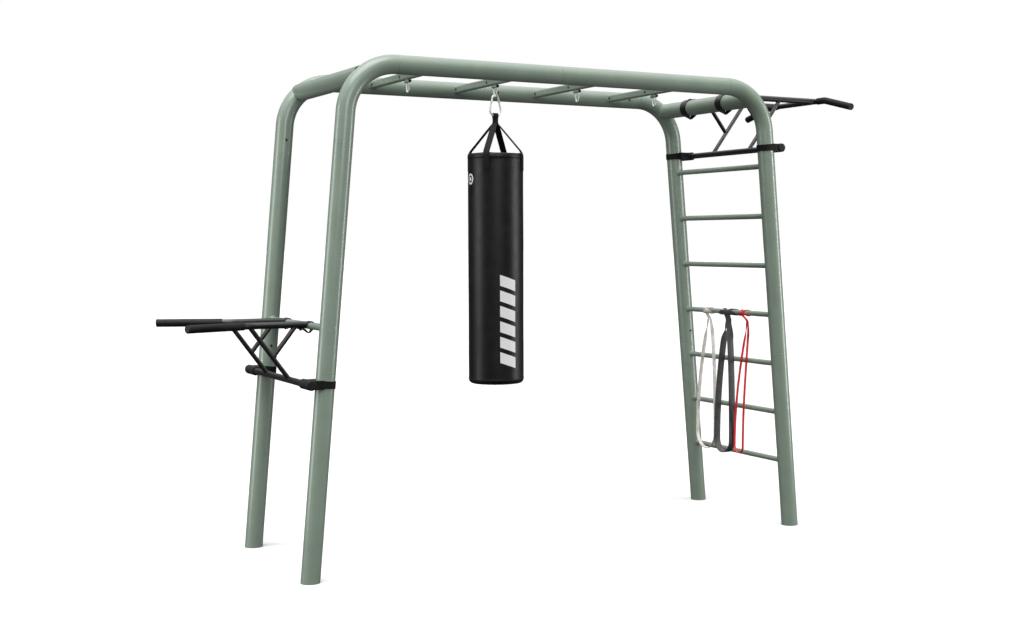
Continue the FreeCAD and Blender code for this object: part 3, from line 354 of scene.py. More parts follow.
def make_vinyl_grain():
    """Pressed leather grain of a vinyl cover, with slow soft dents."""
    group, given = start_group("Vinyl grain", {"Cell": 0.001}, ("Height", "Dent", "Gloss"))
    scale = calculate(group, "DIVIDE", 1.0, given["Cell"])
    cells = node(group, "ShaderNodeTexVoronoi", {"Vector": given["Vector"], "Scale": scale},
                 feature="DISTANCE_TO_EDGE")
    gloss = noise_texture(group, given["Vector"], 18.0, 4.0, 0.6)
    end_group(group, Height=to_range(group, cells.outputs["Distance"], 0.0, 1.0, 0.0, 0.22),
              Dent=noise_texture(group, given["Vector"], 6.0, 2.0, 0.45),
              Gloss=to_range(group, gloss, -1.0, 1.0, 0.3, 0.7))


def make_pores():
    """Fine pores of foam or cast rubber."""
    group, given = start_group("Pores", {"Pore": 0.0012}, ("Height", "Shade"))
    scale = calculate(group, "DIVIDE", 1.0, given["Pore"])
    cells = node(group, "ShaderNodeTexVoronoi", {"Vector": given["Vector"], "Scale": scale})
    cloud = noise_texture(group, given["Vector"], 35.0, 4.0)
    end_group(group, Height=cells.outputs["Distance"],
              Shade=to_range(group, cloud, 0.8, 1.2, 0.3, 0.7))


def start_finish(name):
    """Starts a material; returns its tree, its Principled shader and its object coordinates."""
    material = bpy.data.materials.new(name)
    material.use_nodes = True
    tree = material.node_tree
    place = node(tree, "ShaderNodeTexCoord").outputs["Object"]
    return tree, tree.nodes["Principled BSDF"], place


def join(tree, shader, **results):
    """Joins or sets the shader's sockets."""
    for name, value in results.items():
        give(tree, shader.inputs[name.replace("_", " ")], value)


def bumped(tree, height, strength, distance, under=None):
    """A bump from a height; distance is in metres."""
    inputs = {"Height": height, "Strength": strength, "Distance": distance}
    if under is not None:
        inputs["Normal"] = under
    return node(tree, "ShaderNodeBump", inputs).outputs["Normal"]


def painted(name, colour, pebble, roughness, dust, worn_to, coat):
    """Powder coat: orange peel, a slow change of gloss, a little dust and rubbed edges."""
    tree, shader, place = start_finish(name)
    grain = place_group(tree, "Coat grain", Vector=place, Pebble=pebble)
    wear = place_group(tree, "Edge wear", Vector=place, Width=0.0012, Amount=0.35)
    settled = place_group(tree, "Settled dust", Vector=place, Amount=dust)
    shade = to_range(tree, grain["Gloss"], 0.95, 1.05, -1.0, 1.0)
    varied = tinted(tree, colour, shade)
    rubbed = mixed_colour(tree, wear["Mask"], varied, (*worn_to, 1))
    join(tree, shader,
         Base_Color=mixed_colour(tree, settled["Mask"], rubbed, (0.45, 0.44, 0.41, 1)),
         Roughness=to_range(tree, grain["Gloss"], roughness - 0.035, roughness + 0.035, -1.0, 1.0),
         Normal=bumped(tree, grain["Height"], 0.16, 0.0004),
         Coat_Weight=coat, Coat_Roughness=0.16)


def bare_metal(name, colour, roughness, scratch, metallic):
    """Plated or drawn steel with a mottled gloss, fine scratches and bright edges."""
    tree, shader, place = start_finish(name)
    grain = place_group(tree, "Coat grain", Vector=place, Pebble=0.0006)
    wear = place_group(tree, "Edge wear", Vector=place, Width=0.0008, Amount=0.8)
    shade = to_range(tree, grain["Gloss"], 0.86, 1.1, -1.0, 1.0)
    varied = tinted(tree, colour, shade)
    join(tree, shader,
         Base_Color=mixed_colour(tree, wear["Mask"], varied, (0.95, 0.95, 0.93, 1)),
         Roughness=to_range(tree, grain["Gloss"], roughness - 0.06, roughness + 0.08, -1.0, 1.0),
         Normal=bumped(tree, grain["Height"], scratch, 0.0002), Metallic=metallic)


def moulded(name, colour, roughness, pore, depth):
    """Moulded plastic, rubber or foam with fine pores and a cloudy shade."""
    tree, shader, place = start_finish(name)
    pores = place_group(tree, "Pores", Vector=place, Pore=pore)
    wear = place_group(tree, "Edge wear", Vector=place, Width=0.0015, Amount=0.3)
    varied = tinted(tree, colour, pores["Shade"])
    lighter = tuple(min(1.0, 1.8 * part + 0.008) for part in colour)
    join(tree, shader,
         Base_Color=mixed_colour(tree, wear["Mask"], varied, (*lighter, 1)),
         Roughness=to_range(tree, pores["Shade"], roughness - 0.05, roughness + 0.05, 0.8, 1.2),
         Normal=bumped(tree, pores["Height"], 0.35, depth), Specular_IOR_Level=0.25)


def woven(name, colour, thread, by_strip=True):
    """Nylon webbing; by_strip follows the strip's own map, otherwise the object's place."""
    tree, shader, place = start_finish(name)
    if by_strip:
        vector = node(tree, "ShaderNodeTexCoord").outputs["UV"]
    else:
        turned = {"Vector": place, "Rotation": (QUARTER_TURN, 0, 0)}
        vector = node(tree, "ShaderNodeMapping", turned).outputs["Vector"]
    weave = place_group(tree, "Nylon weave", Vector=vector, Thread=thread)
    # The weave's Shade paints shade into the webbing colour: darker in the thread gaps, lighter on
    # the raised threads.
    join(tree, shader,
         Base_Color=tinted(tree, colour, weave["Shade"]),
         Roughness=to_range(tree, weave["Shade"], 0.8, 0.62, 0.65, 1.15),
         Normal=bumped(tree, weave["Height"], 0.6, 0.0004), Specular_IOR_Level=0.2)


def layered_rubber(name, colour):
    """Layered latex band: faint lines along its edges and a powdery sheen."""
    tree, shader, place = start_finish(name)
    strip = node(tree, "ShaderNodeTexCoord").outputs["UV"]
    pores = place_group(tree, "Pores", Vector=place, Pore=0.0009)
    split = node(tree, "ShaderNodeSeparateXYZ", {0: strip})
    lines = calculate(tree, "SINE", times(tree, split.outputs["X"], LAYER_TURN))
    height = calculate(tree, "ADD", pores["Height"], times(tree, lines, 0.18))
    settled = place_group(tree, "Settled dust", Vector=place, Amount=0.05)
    varied = tinted(tree, colour, pores["Shade"])
    join(tree, shader,
         Base_Color=mixed_colour(tree, settled["Mask"], varied, (0.75, 0.73, 0.7, 1)),
         Roughness=to_range(tree, pores["Shade"], 0.48, 0.62, 0.8, 1.2),
         Normal=bumped(tree, height, 0.25, 0.0003),
         Subsurface_Weight=0.06, Subsurface_Radius=(0.004, 0.003, 0.003))


def bag_cover(name, colour, bars_low, bars_high, ring_height, round_length):
    """Black vinyl with a pressed grain, a printed column of slanted bars and a plain ring."""
    tree, shader, place = start_finish(name)
    cover = node(tree, "ShaderNodeTexCoord").outputs["UV"]
    grain = place_group(tree, "Vinyl grain", Vector=place, Cell=0.0011)
    split = node(tree, "ShaderNodeSeparateXYZ", {0: cover})
    across, up = split.outputs["X"], split.outputs["Y"]
    inside = calculate(tree, "LESS_THAN", calculate(tree, "ABSOLUTE", across), BAR_HALF_WIDTH)
    slid = calculate(tree, "ADD", up, times(tree, across, BAR_SLOPE))
    count = calculate(tree, "DIVIDE", calculate(tree, "SUBTRACT", slid, bars_low), BAR_PITCH)
    bar = calculate(tree, "LESS_THAN", calculate(tree, "FRACT", count), BAR_SHARE)
    above = calculate(tree, "GREATER_THAN", count, 0.0)
    below = calculate(tree, "LESS_THAN", count, (bars_high - bars_low) / BAR_PITCH)
    bars = times(tree, times(tree, inside, bar), times(tree, above, below))
    aside = calculate(tree, "ADD", across, round_length / 4)
    rise = calculate(tree, "SUBTRACT", up, ring_height)
    squared = calculate(tree, "ADD", times(tree, aside, aside), times(tree, rise, rise))
    reach = calculate(tree, "SQRT", squared)
    ring = times(tree, calculate(tree, "LESS_THAN", reach, RING_OUTER),
                 calculate(tree, "GREATER_THAN", reach, RING_INNER))
    badge = calculate(tree, "ADD", ring, calculate(tree, "LESS_THAN", reach, RING_DOT))
    printed = calculate(tree, "ADD", bars, badge, clamp=True)
    crazed = times(tree, printed, to_range(tree, grain["Height"], 0.82, 1.0))
    varied = tinted(tree, colour, to_range(tree, grain["Gloss"], 0.85, 1.15, -1.0, 1.0))
    join(tree, shader,
         Base_Color=mixed_colour(tree, crazed, varied, (0.82, 0.82, 0.82, 1)),
         Roughness=to_range(tree, grain["Gloss"], 0.36, 0.46, -1.0, 1.0),
         Normal=bumped(tree, grain["Height"], 0.22, 0.00025,
                       bumped(tree, grain["Dent"], 0.5, 0.0035)), Specular_IOR_Level=0.35)


# ---------------- shapes ----------------
def as_object(form, name):
    """Turns a bmesh into an object in the scene."""
    mesh = bpy.data.meshes.new(name)
    form.to_mesh(mesh)
    form.free()
    made = bpy.data.objects.new(name, mesh)
    bpy.context.scene.collection.objects.link(made)
    return made


def as_piece(form, name, finish, body=None):
    """Turns a bmesh into a finished piece, which rides on a body if one is given."""
    piece = as_object(form, name)
    piece.data.materials.append(bpy.data.materials[finish])
    if body is not None:
        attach(piece, body)
    return piece


def apply_modifiers(piece):
    """Writes the modifiers' result into the mesh."""
    graph = bpy.context.evaluated_depsgraph_get()
    shaped = bpy.data.meshes.new_from_object(piece.evaluated_get(graph))
    piece.modifiers.clear()
    piece.data = shaped


def lay_strip(form, strip_map, line, across, widths):
    """Lays a flat strip along a line: its cross edge is extruded from point to point."""
    def ends(k):
        half = across[k].normalized() * widths[k] / 2
        return line[k] - half, line[k] + half

    left, right = (form.verts.new(place) for place in ends(0))
    edge = form.edges.new((left, right))
    travelled = 0.0
    for k in range(1, len(line)):
        made = bmesh.ops.extrude_edge_only(form, edges=[edge])["geom"]
        old_left, old_right = left, right
        fresh = [part for part in made if isinstance(part, bmesh.types.BMVert)]
        left = min(fresh, key=lambda vert: (vert.co - old_left.co).length)
        right = next(vert for vert in fresh if vert is not left)
        left.co, right.co = ends(k)
        edge = form.edges.get((left, right))
        face = next(part for part in made if isinstance(part, bmesh.types.BMFace))
        step = (line[k] - line[k - 1]).length
        for loop in face.loops:
            side = widths[k] if loop.vert in (right, old_right) else 0.0
            ahead = travelled + (step if loop.vert in (left, right) else 0.0)
            loop[strip_map].uv = (side, ahead)
        travelled += step


def strip_piece(lines, name, finish, thickness, closed=False, round_edge=0.0006):
    """A piece made of one or more flat strips, thickened about their middle."""
    form = bmesh.new()
    strip_map = form.loops.layers.uv.new("Strip")
    for line, across, widths in lines:
        lay_strip(form, strip_map, line, across, widths)
    if closed:
        bmesh.ops.remove_doubles(form, verts=form.verts, dist=0.00005)
    piece = as_piece(form, name, finish)
    wall = piece.modifiers.new("Thickness", "SOLIDIFY")
    wall.thickness = thickness
    wall.offset = 0
    rounding = piece.modifiers.new("Rounded edges", "BEVEL")
    rounding.width = round_edge
    rounding.segments = 2
    rounding.limit_method = "ANGLE"
    rounding.angle_limit = math.radians(50)
    apply_modifiers(piece)
    piece.data.shade_smooth()
    piece.data.set_sharp_from_angle(angle=math.radians(50))
    return piece


def lay_stitches(form, line, outward, length, gap, radius):
    """Lays stitches end to end along a line, each a small flattened bead of thread."""
    pitch = length + gap
    since = 0.0
    for k in range(1, len(line)):
        start, end = line[k - 1], line[k]
        run = (end - start).length
        way = (end - start).normalized()
        while since < run:
            face = outward(start + way * since)
            side = way.cross(face).normalized()
            turn = Matrix((side, way, face)).transposed().to_4x4()
            place = Matrix.Translation(start + way * since) @ turn
            shape = Matrix.Diagonal((radius, length / 2, radius * 0.6, 1))
            bmesh.ops.create_icosphere(form, subdivisions=1, radius=1.0, matrix=place @ shape)
            since += pitch
        since -= run


def ring_line(centre, radius, height, count=180):
    """Points round a level circle."""
    turns = [FULL_TURN * k / count for k in range(count + 1)]
    return [Vector((centre.x + radius * math.cos(angle), centre.y + radius * math.sin(angle),
                    height)) for angle in turns]


def bead_along(points, radius, name):
    """A closed weld bead along points, with the ripples of its passes, as a mesh."""
    curve = bpy.data.curves.new(name, "CURVE")
    curve.dimensions = "3D"
    curve.bevel_depth = radius
    curve.bevel_resolution = 2
    spline = curve.splines.new("POLY")
    spline.points.add(len(points) - 1)
    for k, (target, place) in enumerate(zip(spline.points, points)):
        target.co = (*place, 1)
        target.radius = 1.0 + RIPPLE * math.sin(k * RIPPLE_TURN)
    spline.use_cyclic_u = True
    line = bpy.data.objects.new(name, curve)
    mesh = bpy.data.meshes.new_from_object(line)
    bpy.data.objects.remove(line)
    bpy.data.curves.remove(curve)
    return mesh


def saddle_line(start, way, section, tube_point, tube_way, tube_radius):
    """Where a bar of a given section, run along a direction, meets a round tube's surface."""
    points = []
    for offset in section:
        place = start + offset
        apart = place - tube_point
        flat = apart - tube_way * apart.dot(tube_way)
        run = way - tube_way * way.dot(tube_way)
        a = run.dot(run)
        b = 2 * flat.dot(run)
        c = flat.dot(flat) - tube_radius * tube_radius
        inside = max(b * b - 4 * a * c, 0.0)
        points.append(place + way * ((-b - math.sqrt(inside)) / (2 * a)))
    return points


def round_section(radius, first, second, count=36):
    """Offsets round a circle in the plane of two directions."""
    turns = [FULL_TURN * k / count for k in range(count)]
    return [(first * math.cos(angle) + second * math.sin(angle)) * radius for angle in turns]


def flat_sided_section(width, height, corner, first, second):
    """Offsets round a rounded rectangle in the plane of two directions."""
    offsets = []
    for quarter in range(4):
        sign_first = (1, -1, -1, 1)[quarter]
        sign_second = (1, 1, -1, -1)[quarter]
        middle = (first * sign_first * (width / 2 - corner)
                  + second * sign_second * (height / 2 - corner))
        for k in range(CORNER_STEPS + 1):
            angle = QUARTER_TURN * (quarter + k / CORNER_STEPS)
            offsets.append(middle + (first * math.cos(angle) + second * math.sin(angle)) * corner)
    return offsets


def settings(context):
    return context.scene.monkey_bars


def middle(low, high):
    return (low + high) / 2


def share_of(value, start, end):
    """How far a value has gone from start to end, from 0 to 1."""
    return max(0.0, min(1.0, (value - start) / (end - start)))


def smooth_share(value, start, end):
    """How far a value has gone from start to end, from 0 to 1, with soft ends."""
    share = share_of(value, start, end)
    return share * share * (3 - 2 * share)


# ---------------- operators ----------------
class MONKEYBARS_OT_finishes(bpy.types.Operator):
    """Makes the paints, metals, rubbers and webbing, and gives each measured part its own"""
    bl_idname = "monkeybars.finishes"
    bl_label = "Finishes"

    def execute(self, context):
        chosen = settings(context)
        for plain in list(bpy.data.materials):
            bpy.data.materials.remove(plain)
        for make in (make_coat_grain, make_edge_wear, make_dust, make_weave,
                     make_vinyl_grain, make_pores):
            make()
        green, black = tuple(chosen.paint.green), tuple(chosen.paint.black)
        pebble = chosen.paint.pebble
        webbing = tuple(chosen.strap.webbing)
        painted("green_paint", green, pebble, 0.34, 0.05, (0.42, 0.47, 0.42), 0.35)
        painted("black_paint", black, pebble, 0.36, 0.015, (0.05, 0.05, 0.05), 0.1)
        painted("black_steel", black, 0.0007, 0.42, 0.015, (0.12, 0.12, 0.12), 0.0)
        bare_metal("sleeve_steel", (0.5, 0.5, 0.5), 0.42, 0.3, 1.0)
        bare_metal("zinc_steel", (0.86, 0.87, 0.86), 0.36, 0.2, 0.45)
        moulded("black_plastic", (0.006, 0.006, 0.006), 0.45, 0.0009, 0.0002)
        moulded("black_rubber", (0.0055, 0.0055, 0.0057), 0.62, 0.0014, 0.0005)
        woven("black_webbing", webbing, 0.0016)
        woven("leg_webbing", webbing, 0.0016, by_strip=False)
        moulded("thread", (0.03, 0.03, 0.031), 0.6, 0.0006, 0.0001)
        low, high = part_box("bag_skin")
        radius = (high.x - low.x) / 2
        bag_cover("bag_vinyl", tuple(chosen.bag.vinyl), low.z + BARS_LOW, low.z + BARS_HIGH,
                  high.z - RING_DROP, FULL_TURN * radius)
        moulded("bag_filling", (0.35, 0.33, 0.3), 0.9, 0.003, 0.001)
        for colour in BAND_COLOURS:
            layered_rubber("band_" + colour, tuple(getattr(chosen.band, colour)))
        finish_of = {"leg_straps": "leg_webbing"}
        for part in frame["record"]["subparts"]:
            name = part["node"]
            finish = finish_of.get(name, part["material_slot"])
            shown = frame["nodes"][name]
            shown.data.materials.clear()
            shown.data.materials.append(bpy.data.materials[finish])
        return {"FINISHED"}


class MONKEYBARS_OT_welds(bpy.types.Operator):
    """Lays a weld bead wherever an overhead rung meets a top tube, and wherever a ladder rung or
    the dip rung meets a leg
    """
    bl_idname = "monkeybars.welds"
    bl_label = "Weld beads"

    def execute(self, context):
        bead = settings(context).paint.bead
        lines = []
        for name in TOP_TUBES:
            tube_low, tube_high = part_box(name)
            tube_middle = middle(tube_low, tube_high)
            tube_radius = (tube_high.z - tube_low.z) / 2
            for index in range(RUNG_COUNT):
                low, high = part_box("monkey_rung_" + str(index + 1))
                section = flat_sided_section(high.x - low.x, high.z - low.z, RUNG_CORNER,
                                             X_AXIS, Z_AXIS)
                way = Y_AXIS * (1 if tube_middle.y > 0 else -1)
                lines.append(saddle_line(middle(low, high), way, section,
                                         tube_middle, X_AXIS, tube_radius))
        lines.extend(self.ladder_lines())
        form = bmesh.new()
        for k, line in enumerate(lines):
            form.from_mesh(bead_along(line, bead, "weld_line_" + str(k)))
        bmesh.ops.remove_doubles(form, verts=form.verts, dist=0.00001)
        bmesh.ops.recalc_face_normals(form, faces=form.faces)
        piece = as_piece(form, "weld_beads", "green_paint", "frame")
        piece.data.shade_smooth()
        return {"FINISHED"}

    def ladder_lines(self):
        """The lines where the ladder rungs and the dip rung meet the sloping legs."""
        lines = []
        legs = {(end, side): self.leg_axis(end, side)
                for end in ("left", "right") for side in ("front", "rear")}
        for low, high in self.separate_rungs("ladder_rungs") + self.separate_rungs("dip_rung"):
            centre = middle(low, high)
            radius = (high.z - low.z) / 2
            end = "left" if centre.x < 0 else "right"
            for side, sign in (("front", -1), ("rear", 1)):
                point, way, tube_radius = legs[end, side]
                section = round_section(radius, X_AXIS, Z_AXIS)
                lines.append(saddle_line(centre, Y_AXIS * sign, section, point, way, tube_radius))
        return lines

    def separate_rungs(self, name):
        """The box of each rung in a node, found by the rungs' heights and ends."""
        heights = {}
        for vert in frame["nodes"][name].data.vertices:
            end = vert.co.x > 0
            key = next((known for known in heights
                        if known[0] == end and abs(known[1] - vert.co.z) < RUNG_REACH), None)
            if key is None:
                key = (end, vert.co.z)
                heights[key] = [vert.co.copy(), vert.co.copy()]
            low, high = heights[key]
            heights[key] = [Vector(map(min, low, vert.co)), Vector(map(max, high, vert.co))]
        return list(heights.values())

    def leg_axis(self, end, side):
        """A point on a leg's axis, the axis's direction and the leg's radius."""
        low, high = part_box("upper_leg_" + side + "_" + end)
        radius = (high.y - low.y) / 2
        top = self.section_middle("upper_leg_" + side + "_" + end, high.z)
        foot = self.section_middle("lower_leg_" + side + "_" + end, 0.0)
        return top, (foot - top).normalized(), radius

    def section_middle(self, name, height):
        """The middle of a tube's end that is nearest to a height."""
        verts = [vert.co for vert in frame["nodes"][name].data.vertices]
        nearest = min(abs(co.z - height) for co in verts)
        near = [co for co in verts if abs(co.z - height) < nearest + END_REACH]
        low = Vector(map(min, *[tuple(co) for co in near]))
        high = Vector(map(max, *[tuple(co) for co in near]))
        return middle(low, high)


class MONKEYBARS_OT_punch_bag(bpy.types.Operator):
    """Builds the vinyl punch bag with its hem, seams, stitching and a slightly swollen cover"""
    bl_idname = "monkeybars.punch_bag"
    bl_label = "Punch bag"

    def execute(self, context):
        chosen = settings(context).bag
        low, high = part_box("bag_skin")
        centre = middle(low, high)
        radius = (high.x - low.x) / 2
        sections = chosen.sections
        form = bmesh.new()
        cover_map = form.loops.layers.uv.new("Cover")
        verts = [form.verts.new(place) for place in self.profile(low.z, high.z, radius, chosen)]
        edges = [form.edges.new(pair) for pair in zip(verts, verts[1:])]
        bmesh.ops.spin(form, geom=verts + edges, cent=(0, 0, 0), axis=(0, 0, 1),
                       angle=FULL_TURN, steps=sections, use_merge=True, use_duplicate=False)
        bmesh.ops.remove_doubles(form, verts=form.verts, dist=0.0002)
        bmesh.ops.recalc_face_normals(form, faces=form.faces)
        for face in form.faces:
            middle_angle = self.angle_from_front(face.calc_center_median())
            for loop in face.loops:
                angle = self.angle_from_front(loop.vert.co)
                if angle - middle_angle > math.pi:
                    angle -= FULL_TURN
                if middle_angle - angle > math.pi:
                    angle += FULL_TURN
                loop[cover_map].uv = (angle * radius, loop.vert.co.z)
        bmesh.ops.translate(form, verts=form.verts, vec=(centre.x, centre.y, 0))
        piece = as_piece(form, "punch_bag_cover", "bag_vinyl")
        self.swell(piece, low.z, high.z, chosen)
        self.settle(piece, centre, low.z, high.z)
        piece.data.shade_smooth()
        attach(piece, "punch_bag")
        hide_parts("bag_skin", "bag_filling")
        self.stitch(centre, low.z, high.z, radius, chosen)
        return {"FINISHED"}

    def angle_from_front(self, place):
        """Angle round the bag from its front, which looks along -Y; to the right is positive."""
        return math.atan2(place.x, -place.y)

    def profile(self, low_z, high_z, radius, chosen):
        """The bag's outline from the middle of its bottom to the middle of its lid."""
        edge = chosen.bottom_round
        wall_low = low_z + edge + SEAM_GAP
        wall_high = high_z - chosen.hem
        points = [(CROWN_MIDDLE[0], low_z + CROWN_MIDDLE[1])]
        points += [(radius * share, low_z + up) for share, up in CROWN_STEPS]
        points.append((radius - edge, low_z))
        for k in range(1, ROUND_STEPS + 1):
            angle = QUARTER_TURN * k / ROUND_STEPS
            points.append((radius - edge + edge * math.sin(angle) - ROUND_INSET,
                           low_z + edge - edge * math.cos(angle)))
        for k in range(WALL_STEPS + 1):
            height = wall_low + (wall_high - WALL_GAP - wall_low) * k / WALL_STEPS
            points.append((radius - WALL_INSET, height))
        points += [(radius + out, wall_high + up) for out, up in HEM_STEPS]
        points += [(radius + out, high_z + up) for out, up in RIM_STEPS]
        points += [(radius * share, high_z + up) for share, up in LID_STEPS]
        points.append((LID_MIDDLE[0], high_z + LID_MIDDLE[1]))
        return [Vector((across, 0, height)) for across, height in points]

    def swell(self, piece, low_z, high_z, chosen):
        """Lets the filling press the cover out as cloth, held at its hem and its bottom seam."""
        rest = [vert.co.copy() for vert in piece.data.vertices]
        held = piece.vertex_groups.new(name="Held")
        for vert in piece.data.vertices:
            lowest = low_z + chosen.bottom_round + 0.012
            if not lowest < vert.co.z < high_z - chosen.hem - 0.004:
                held.add([vert.index], 1.0, "REPLACE")
        cloth = piece.modifiers.new("Cloth", "CLOTH")
        for name, value in CLOTH.items():
            setattr(cloth.settings, name, value)
        cloth.settings.effector_weights.gravity = 0
        cloth.collision_settings.use_collision = False
        cloth.point_cache.frame_start = 1
        cloth.point_cache.frame_end = CLOTH_FRAMES
        for step in range(1, CLOTH_FRAMES + 1):
            bpy.context.scene.frame_set(step)
        apply_modifiers(piece)
        bpy.context.scene.frame_set(1)
        for vert, start in zip(piece.data.vertices, rest):
            moved = vert.co - start
            if moved.length > chosen.most_swell:
                vert.co = start + moved.normalized() * chosen.most_swell

    def settle(self, piece, centre, low_z, high_z):
        """Small unevenness of a packed bag, and a rim that the straps pull in and up."""
        for vert in piece.data.vertices:
            out = Vector((vert.co.x - centre.x, vert.co.y - centre.y, 0))
            if out.length < 0.01:
                continue
            from_strap = (math.degrees(math.atan2(out.y, out.x)) - 45 + 45) % 90 - 45
            pulled = math.exp(-(from_strap / STRAP_SPREAD) ** 2)
            near_top = max(0.0, (vert.co.z - (high_z - RIM_HEIGHT)) / RIM_HEIGHT)
            lump = noise.noise(Vector((vert.co.x * LUMP_ACROSS, vert.co.y * LUMP_ACROSS,
                                       vert.co.z * LUMP_UP)))
            in_wall = low_z + LUMP_MARGIN < vert.co.z < high_z - LUMP_MARGIN
            push = LUMP * lump if in_wall else 0.0
            push -= RIM_PULL * pulled * near_top ** 2
            vert.co += out.normalized() * push
            vert.co.z -= RIM_SAG * (1 - pulled) * near_top ** 2

    def stitch(self, centre, low_z, high_z, radius, chosen):
        """Thread along the hem and the bottom seam, and the piping under that seam."""
        form = bmesh.new()

        def outward(place):
            return Vector((place.x - centre.x, place.y - centre.y, 0)).normalized()

        for height in (high_z - chosen.hem + 0.004, high_z - chosen.hem + 0.008):
            lay_stitches(form, ring_line(centre, radius + 0.0005, height), outward, *HEM_STITCH)
        low_seam = low_z + chosen.bottom_round + 0.006
        lay_stitches(form, ring_line(centre, radius - 0.0004, low_seam), outward, *HEM_STITCH)
        as_piece(form, "bag_stitching", "thread", "punch_bag")
        form = bmesh.new()
        start = Vector((radius - 0.0007 + chosen.piping, 0, low_seam - 0.006))
        ring = bmesh.ops.create_circle(form, segments=10, radius=chosen.piping,
                                       matrix=Matrix.Translation(start - X_AXIS * chosen.piping)
                                       @ Matrix.Rotation(QUARTER_TURN, 4, "X"))
        edges = list({edge for vert in ring["verts"] for edge in vert.link_edges})
        bmesh.ops.spin(form, geom=ring["verts"] + edges, cent=(0, 0, 0), axis=(0, 0, 1),
                       angle=FULL_TURN, steps=chosen.sections, use_merge=True, use_duplicate=False)
        bmesh.ops.remove_doubles(form, verts=form.verts, dist=0.00005)
        bmesh.ops.recalc_face_normals(form, faces=form.faces)
        bmesh.ops.translate(form, verts=form.verts, vec=(centre.x, centre.y, 0))
        piping = as_piece(form, "bag_piping", "black_plastic", "punch_bag")
        piping.data.shade_smooth()


class MONKEYBARS_OT_bag_straps(bpy.types.Operator):
    """Builds the four webbing straps that are sewn to the bag, and the sling they gather in"""
    bl_idname = "monkeybars.bag_straps"
    bl_label = "Bag straps"

    def execute(self, context):
        chosen = settings(context).strap
        skin_low, skin_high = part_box("bag_skin")
        sling_low, sling_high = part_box("bag_sling")
        strap_low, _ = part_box("bag_straps")
        centre = middle(skin_low, skin_high)
        radius = (skin_high.x - skin_low.x) / 2
        neck = sling_low.z
        lines = []
        thread = bmesh.new()
        for quarter in range(4):
            out = Matrix.Rotation(math.radians(45 + 90 * quarter), 3, "Z") @ X_AXIS
            side = Z_AXIS.cross(out)
            lines.append(self.strap_line(centre, out, side, radius, strap_low.z, skin_high.z,
                                         neck, chosen))
            self.sew(thread, centre, out, side, radius, strap_low.z, skin_high.z, chosen)
        straps = strip_piece(lines, "bag_strap_webbing", "black_webbing",
                             chosen.thickness)
        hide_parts("bag_straps")
        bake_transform(straps)
        as_piece(thread, "strap_stitching", "thread", "punch_bag")
        self.make_sling(Vector((centre.x, centre.y, 0)), neck, sling_high.z, chosen)
        return {"FINISHED"}

    def strap_line(self, centre, out, side, radius, low_z, rim_z, neck, chosen):
        """One strap from its sewn end, over the rim and up to the gather under the sling."""
        wall = radius + STRAP_GAP + chosen.thickness / 2
        stops = [(wall, low_z), (wall, low_z + STRAP_SEWN)]
        stops += [(wall + reach, rim_z + up) for reach, up in OVER_RIM]
        gathered = [(GATHER + reach, neck + up) for reach, up in INTO_SLING]
        last, top = Vector(stops[-1]), Vector(gathered[0])
        stops += [tuple(last.lerp(top, k / FREE_STEPS)) for k in range(1, FREE_STEPS)]
        line = []
        widths = []
        for reach, height in stops + gathered:
            line.append(Vector((centre.x, centre.y, height)) + out * reach)
            near_top = share_of(height, neck - NECKING_HEIGHT, neck)
            widths.append(chosen.width * (1 - NECKING * near_top))
        return line, [side] * len(line), widths

    def sew(self, form, centre, out, side, radius, low_z, rim_z, chosen):
        """A box of stitches with a cross in it, where a strap is sewn to the bag."""
        face = radius + STRAP_GAP + chosen.thickness + 0.0002
        half = chosen.width / 2 - 0.004
        bottom, top = low_z + 0.005, rim_z - 0.036
        base = Vector((centre.x, centre.y, 0)) + out * face

        def at(way, height):
            return base + side * way * half + Z_AXIS * height

        for line in ([at(-1, bottom), at(1, bottom), at(1, top), at(-1, top), at(-1, bottom)],
                     [at(-1, bottom), at(1, top)], [at(1, bottom), at(-1, top)]):
            lay_stitches(form, line, lambda place: out, chosen.stitch, *BOX_STITCH)

    def make_sling(self, centre, neck, top_z, chosen):
        """Two layers of webbing over the carabiner's bow, sewn together under it."""
        lines = []
        thick = chosen.thickness
        body_low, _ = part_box("carabiner_body")
        wire_z = body_low.z + WIRE_RADIUS
        for layer in range(2):
            bend = SLING_BEND + thick * (layer + 0.5)
            leg = SLING_GAP + thick * (layer + 0.5)
            stops = [(-leg, neck - SLING_FOOT), (-leg, neck + SLING_LEG)]
            for k in range(BEND_STEPS + 1):
                angle = BEND_START - BEND_TURN * k / BEND_STEPS
                stops.append((bend * math.cos(angle), wire_z + bend * math.sin(angle)))
            stops += [(leg, neck + SLING_LEG), (leg, neck - SLING_FOOT)]
            line = [Vector((centre.x, centre.y + y, min(z, top_z))) for y, z in stops]
            lines.append((line, [X_AXIS] * len(line), [SLING_WIDTH] * len(line)))
        sling = strip_piece(lines, "sling_webbing", "black_webbing", thick * 0.96)
        lift_start, lift_height = SLING_LIFT
        for vert in sling.data.vertices:
            lift = share_of(vert.co.z, neck + lift_start, neck + lift_start + lift_height)
            aside = vert.co.x - centre.x
            vert.co.z += lift * (SLING_CURL - math.sqrt(SLING_CURL ** 2 - aside ** 2))
        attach(sling, "bag_sling")
        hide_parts("bag_sling")
        thread = bmesh.new()
        for way in (-1, 1):
            face = centre.y + way * (SLING_GAP + 2 * thick + 0.0003)
            for height in (neck + 0.0025, neck + 0.0055):
                line = [Vector((centre.x + aside, face, height)) for aside in (-0.011, 0.011)]
                lay_stitches(thread, line, lambda place: Y_AXIS * way, *SLING_STITCH)
        as_piece(thread, "sling_stitching", "thread", "bag_sling")


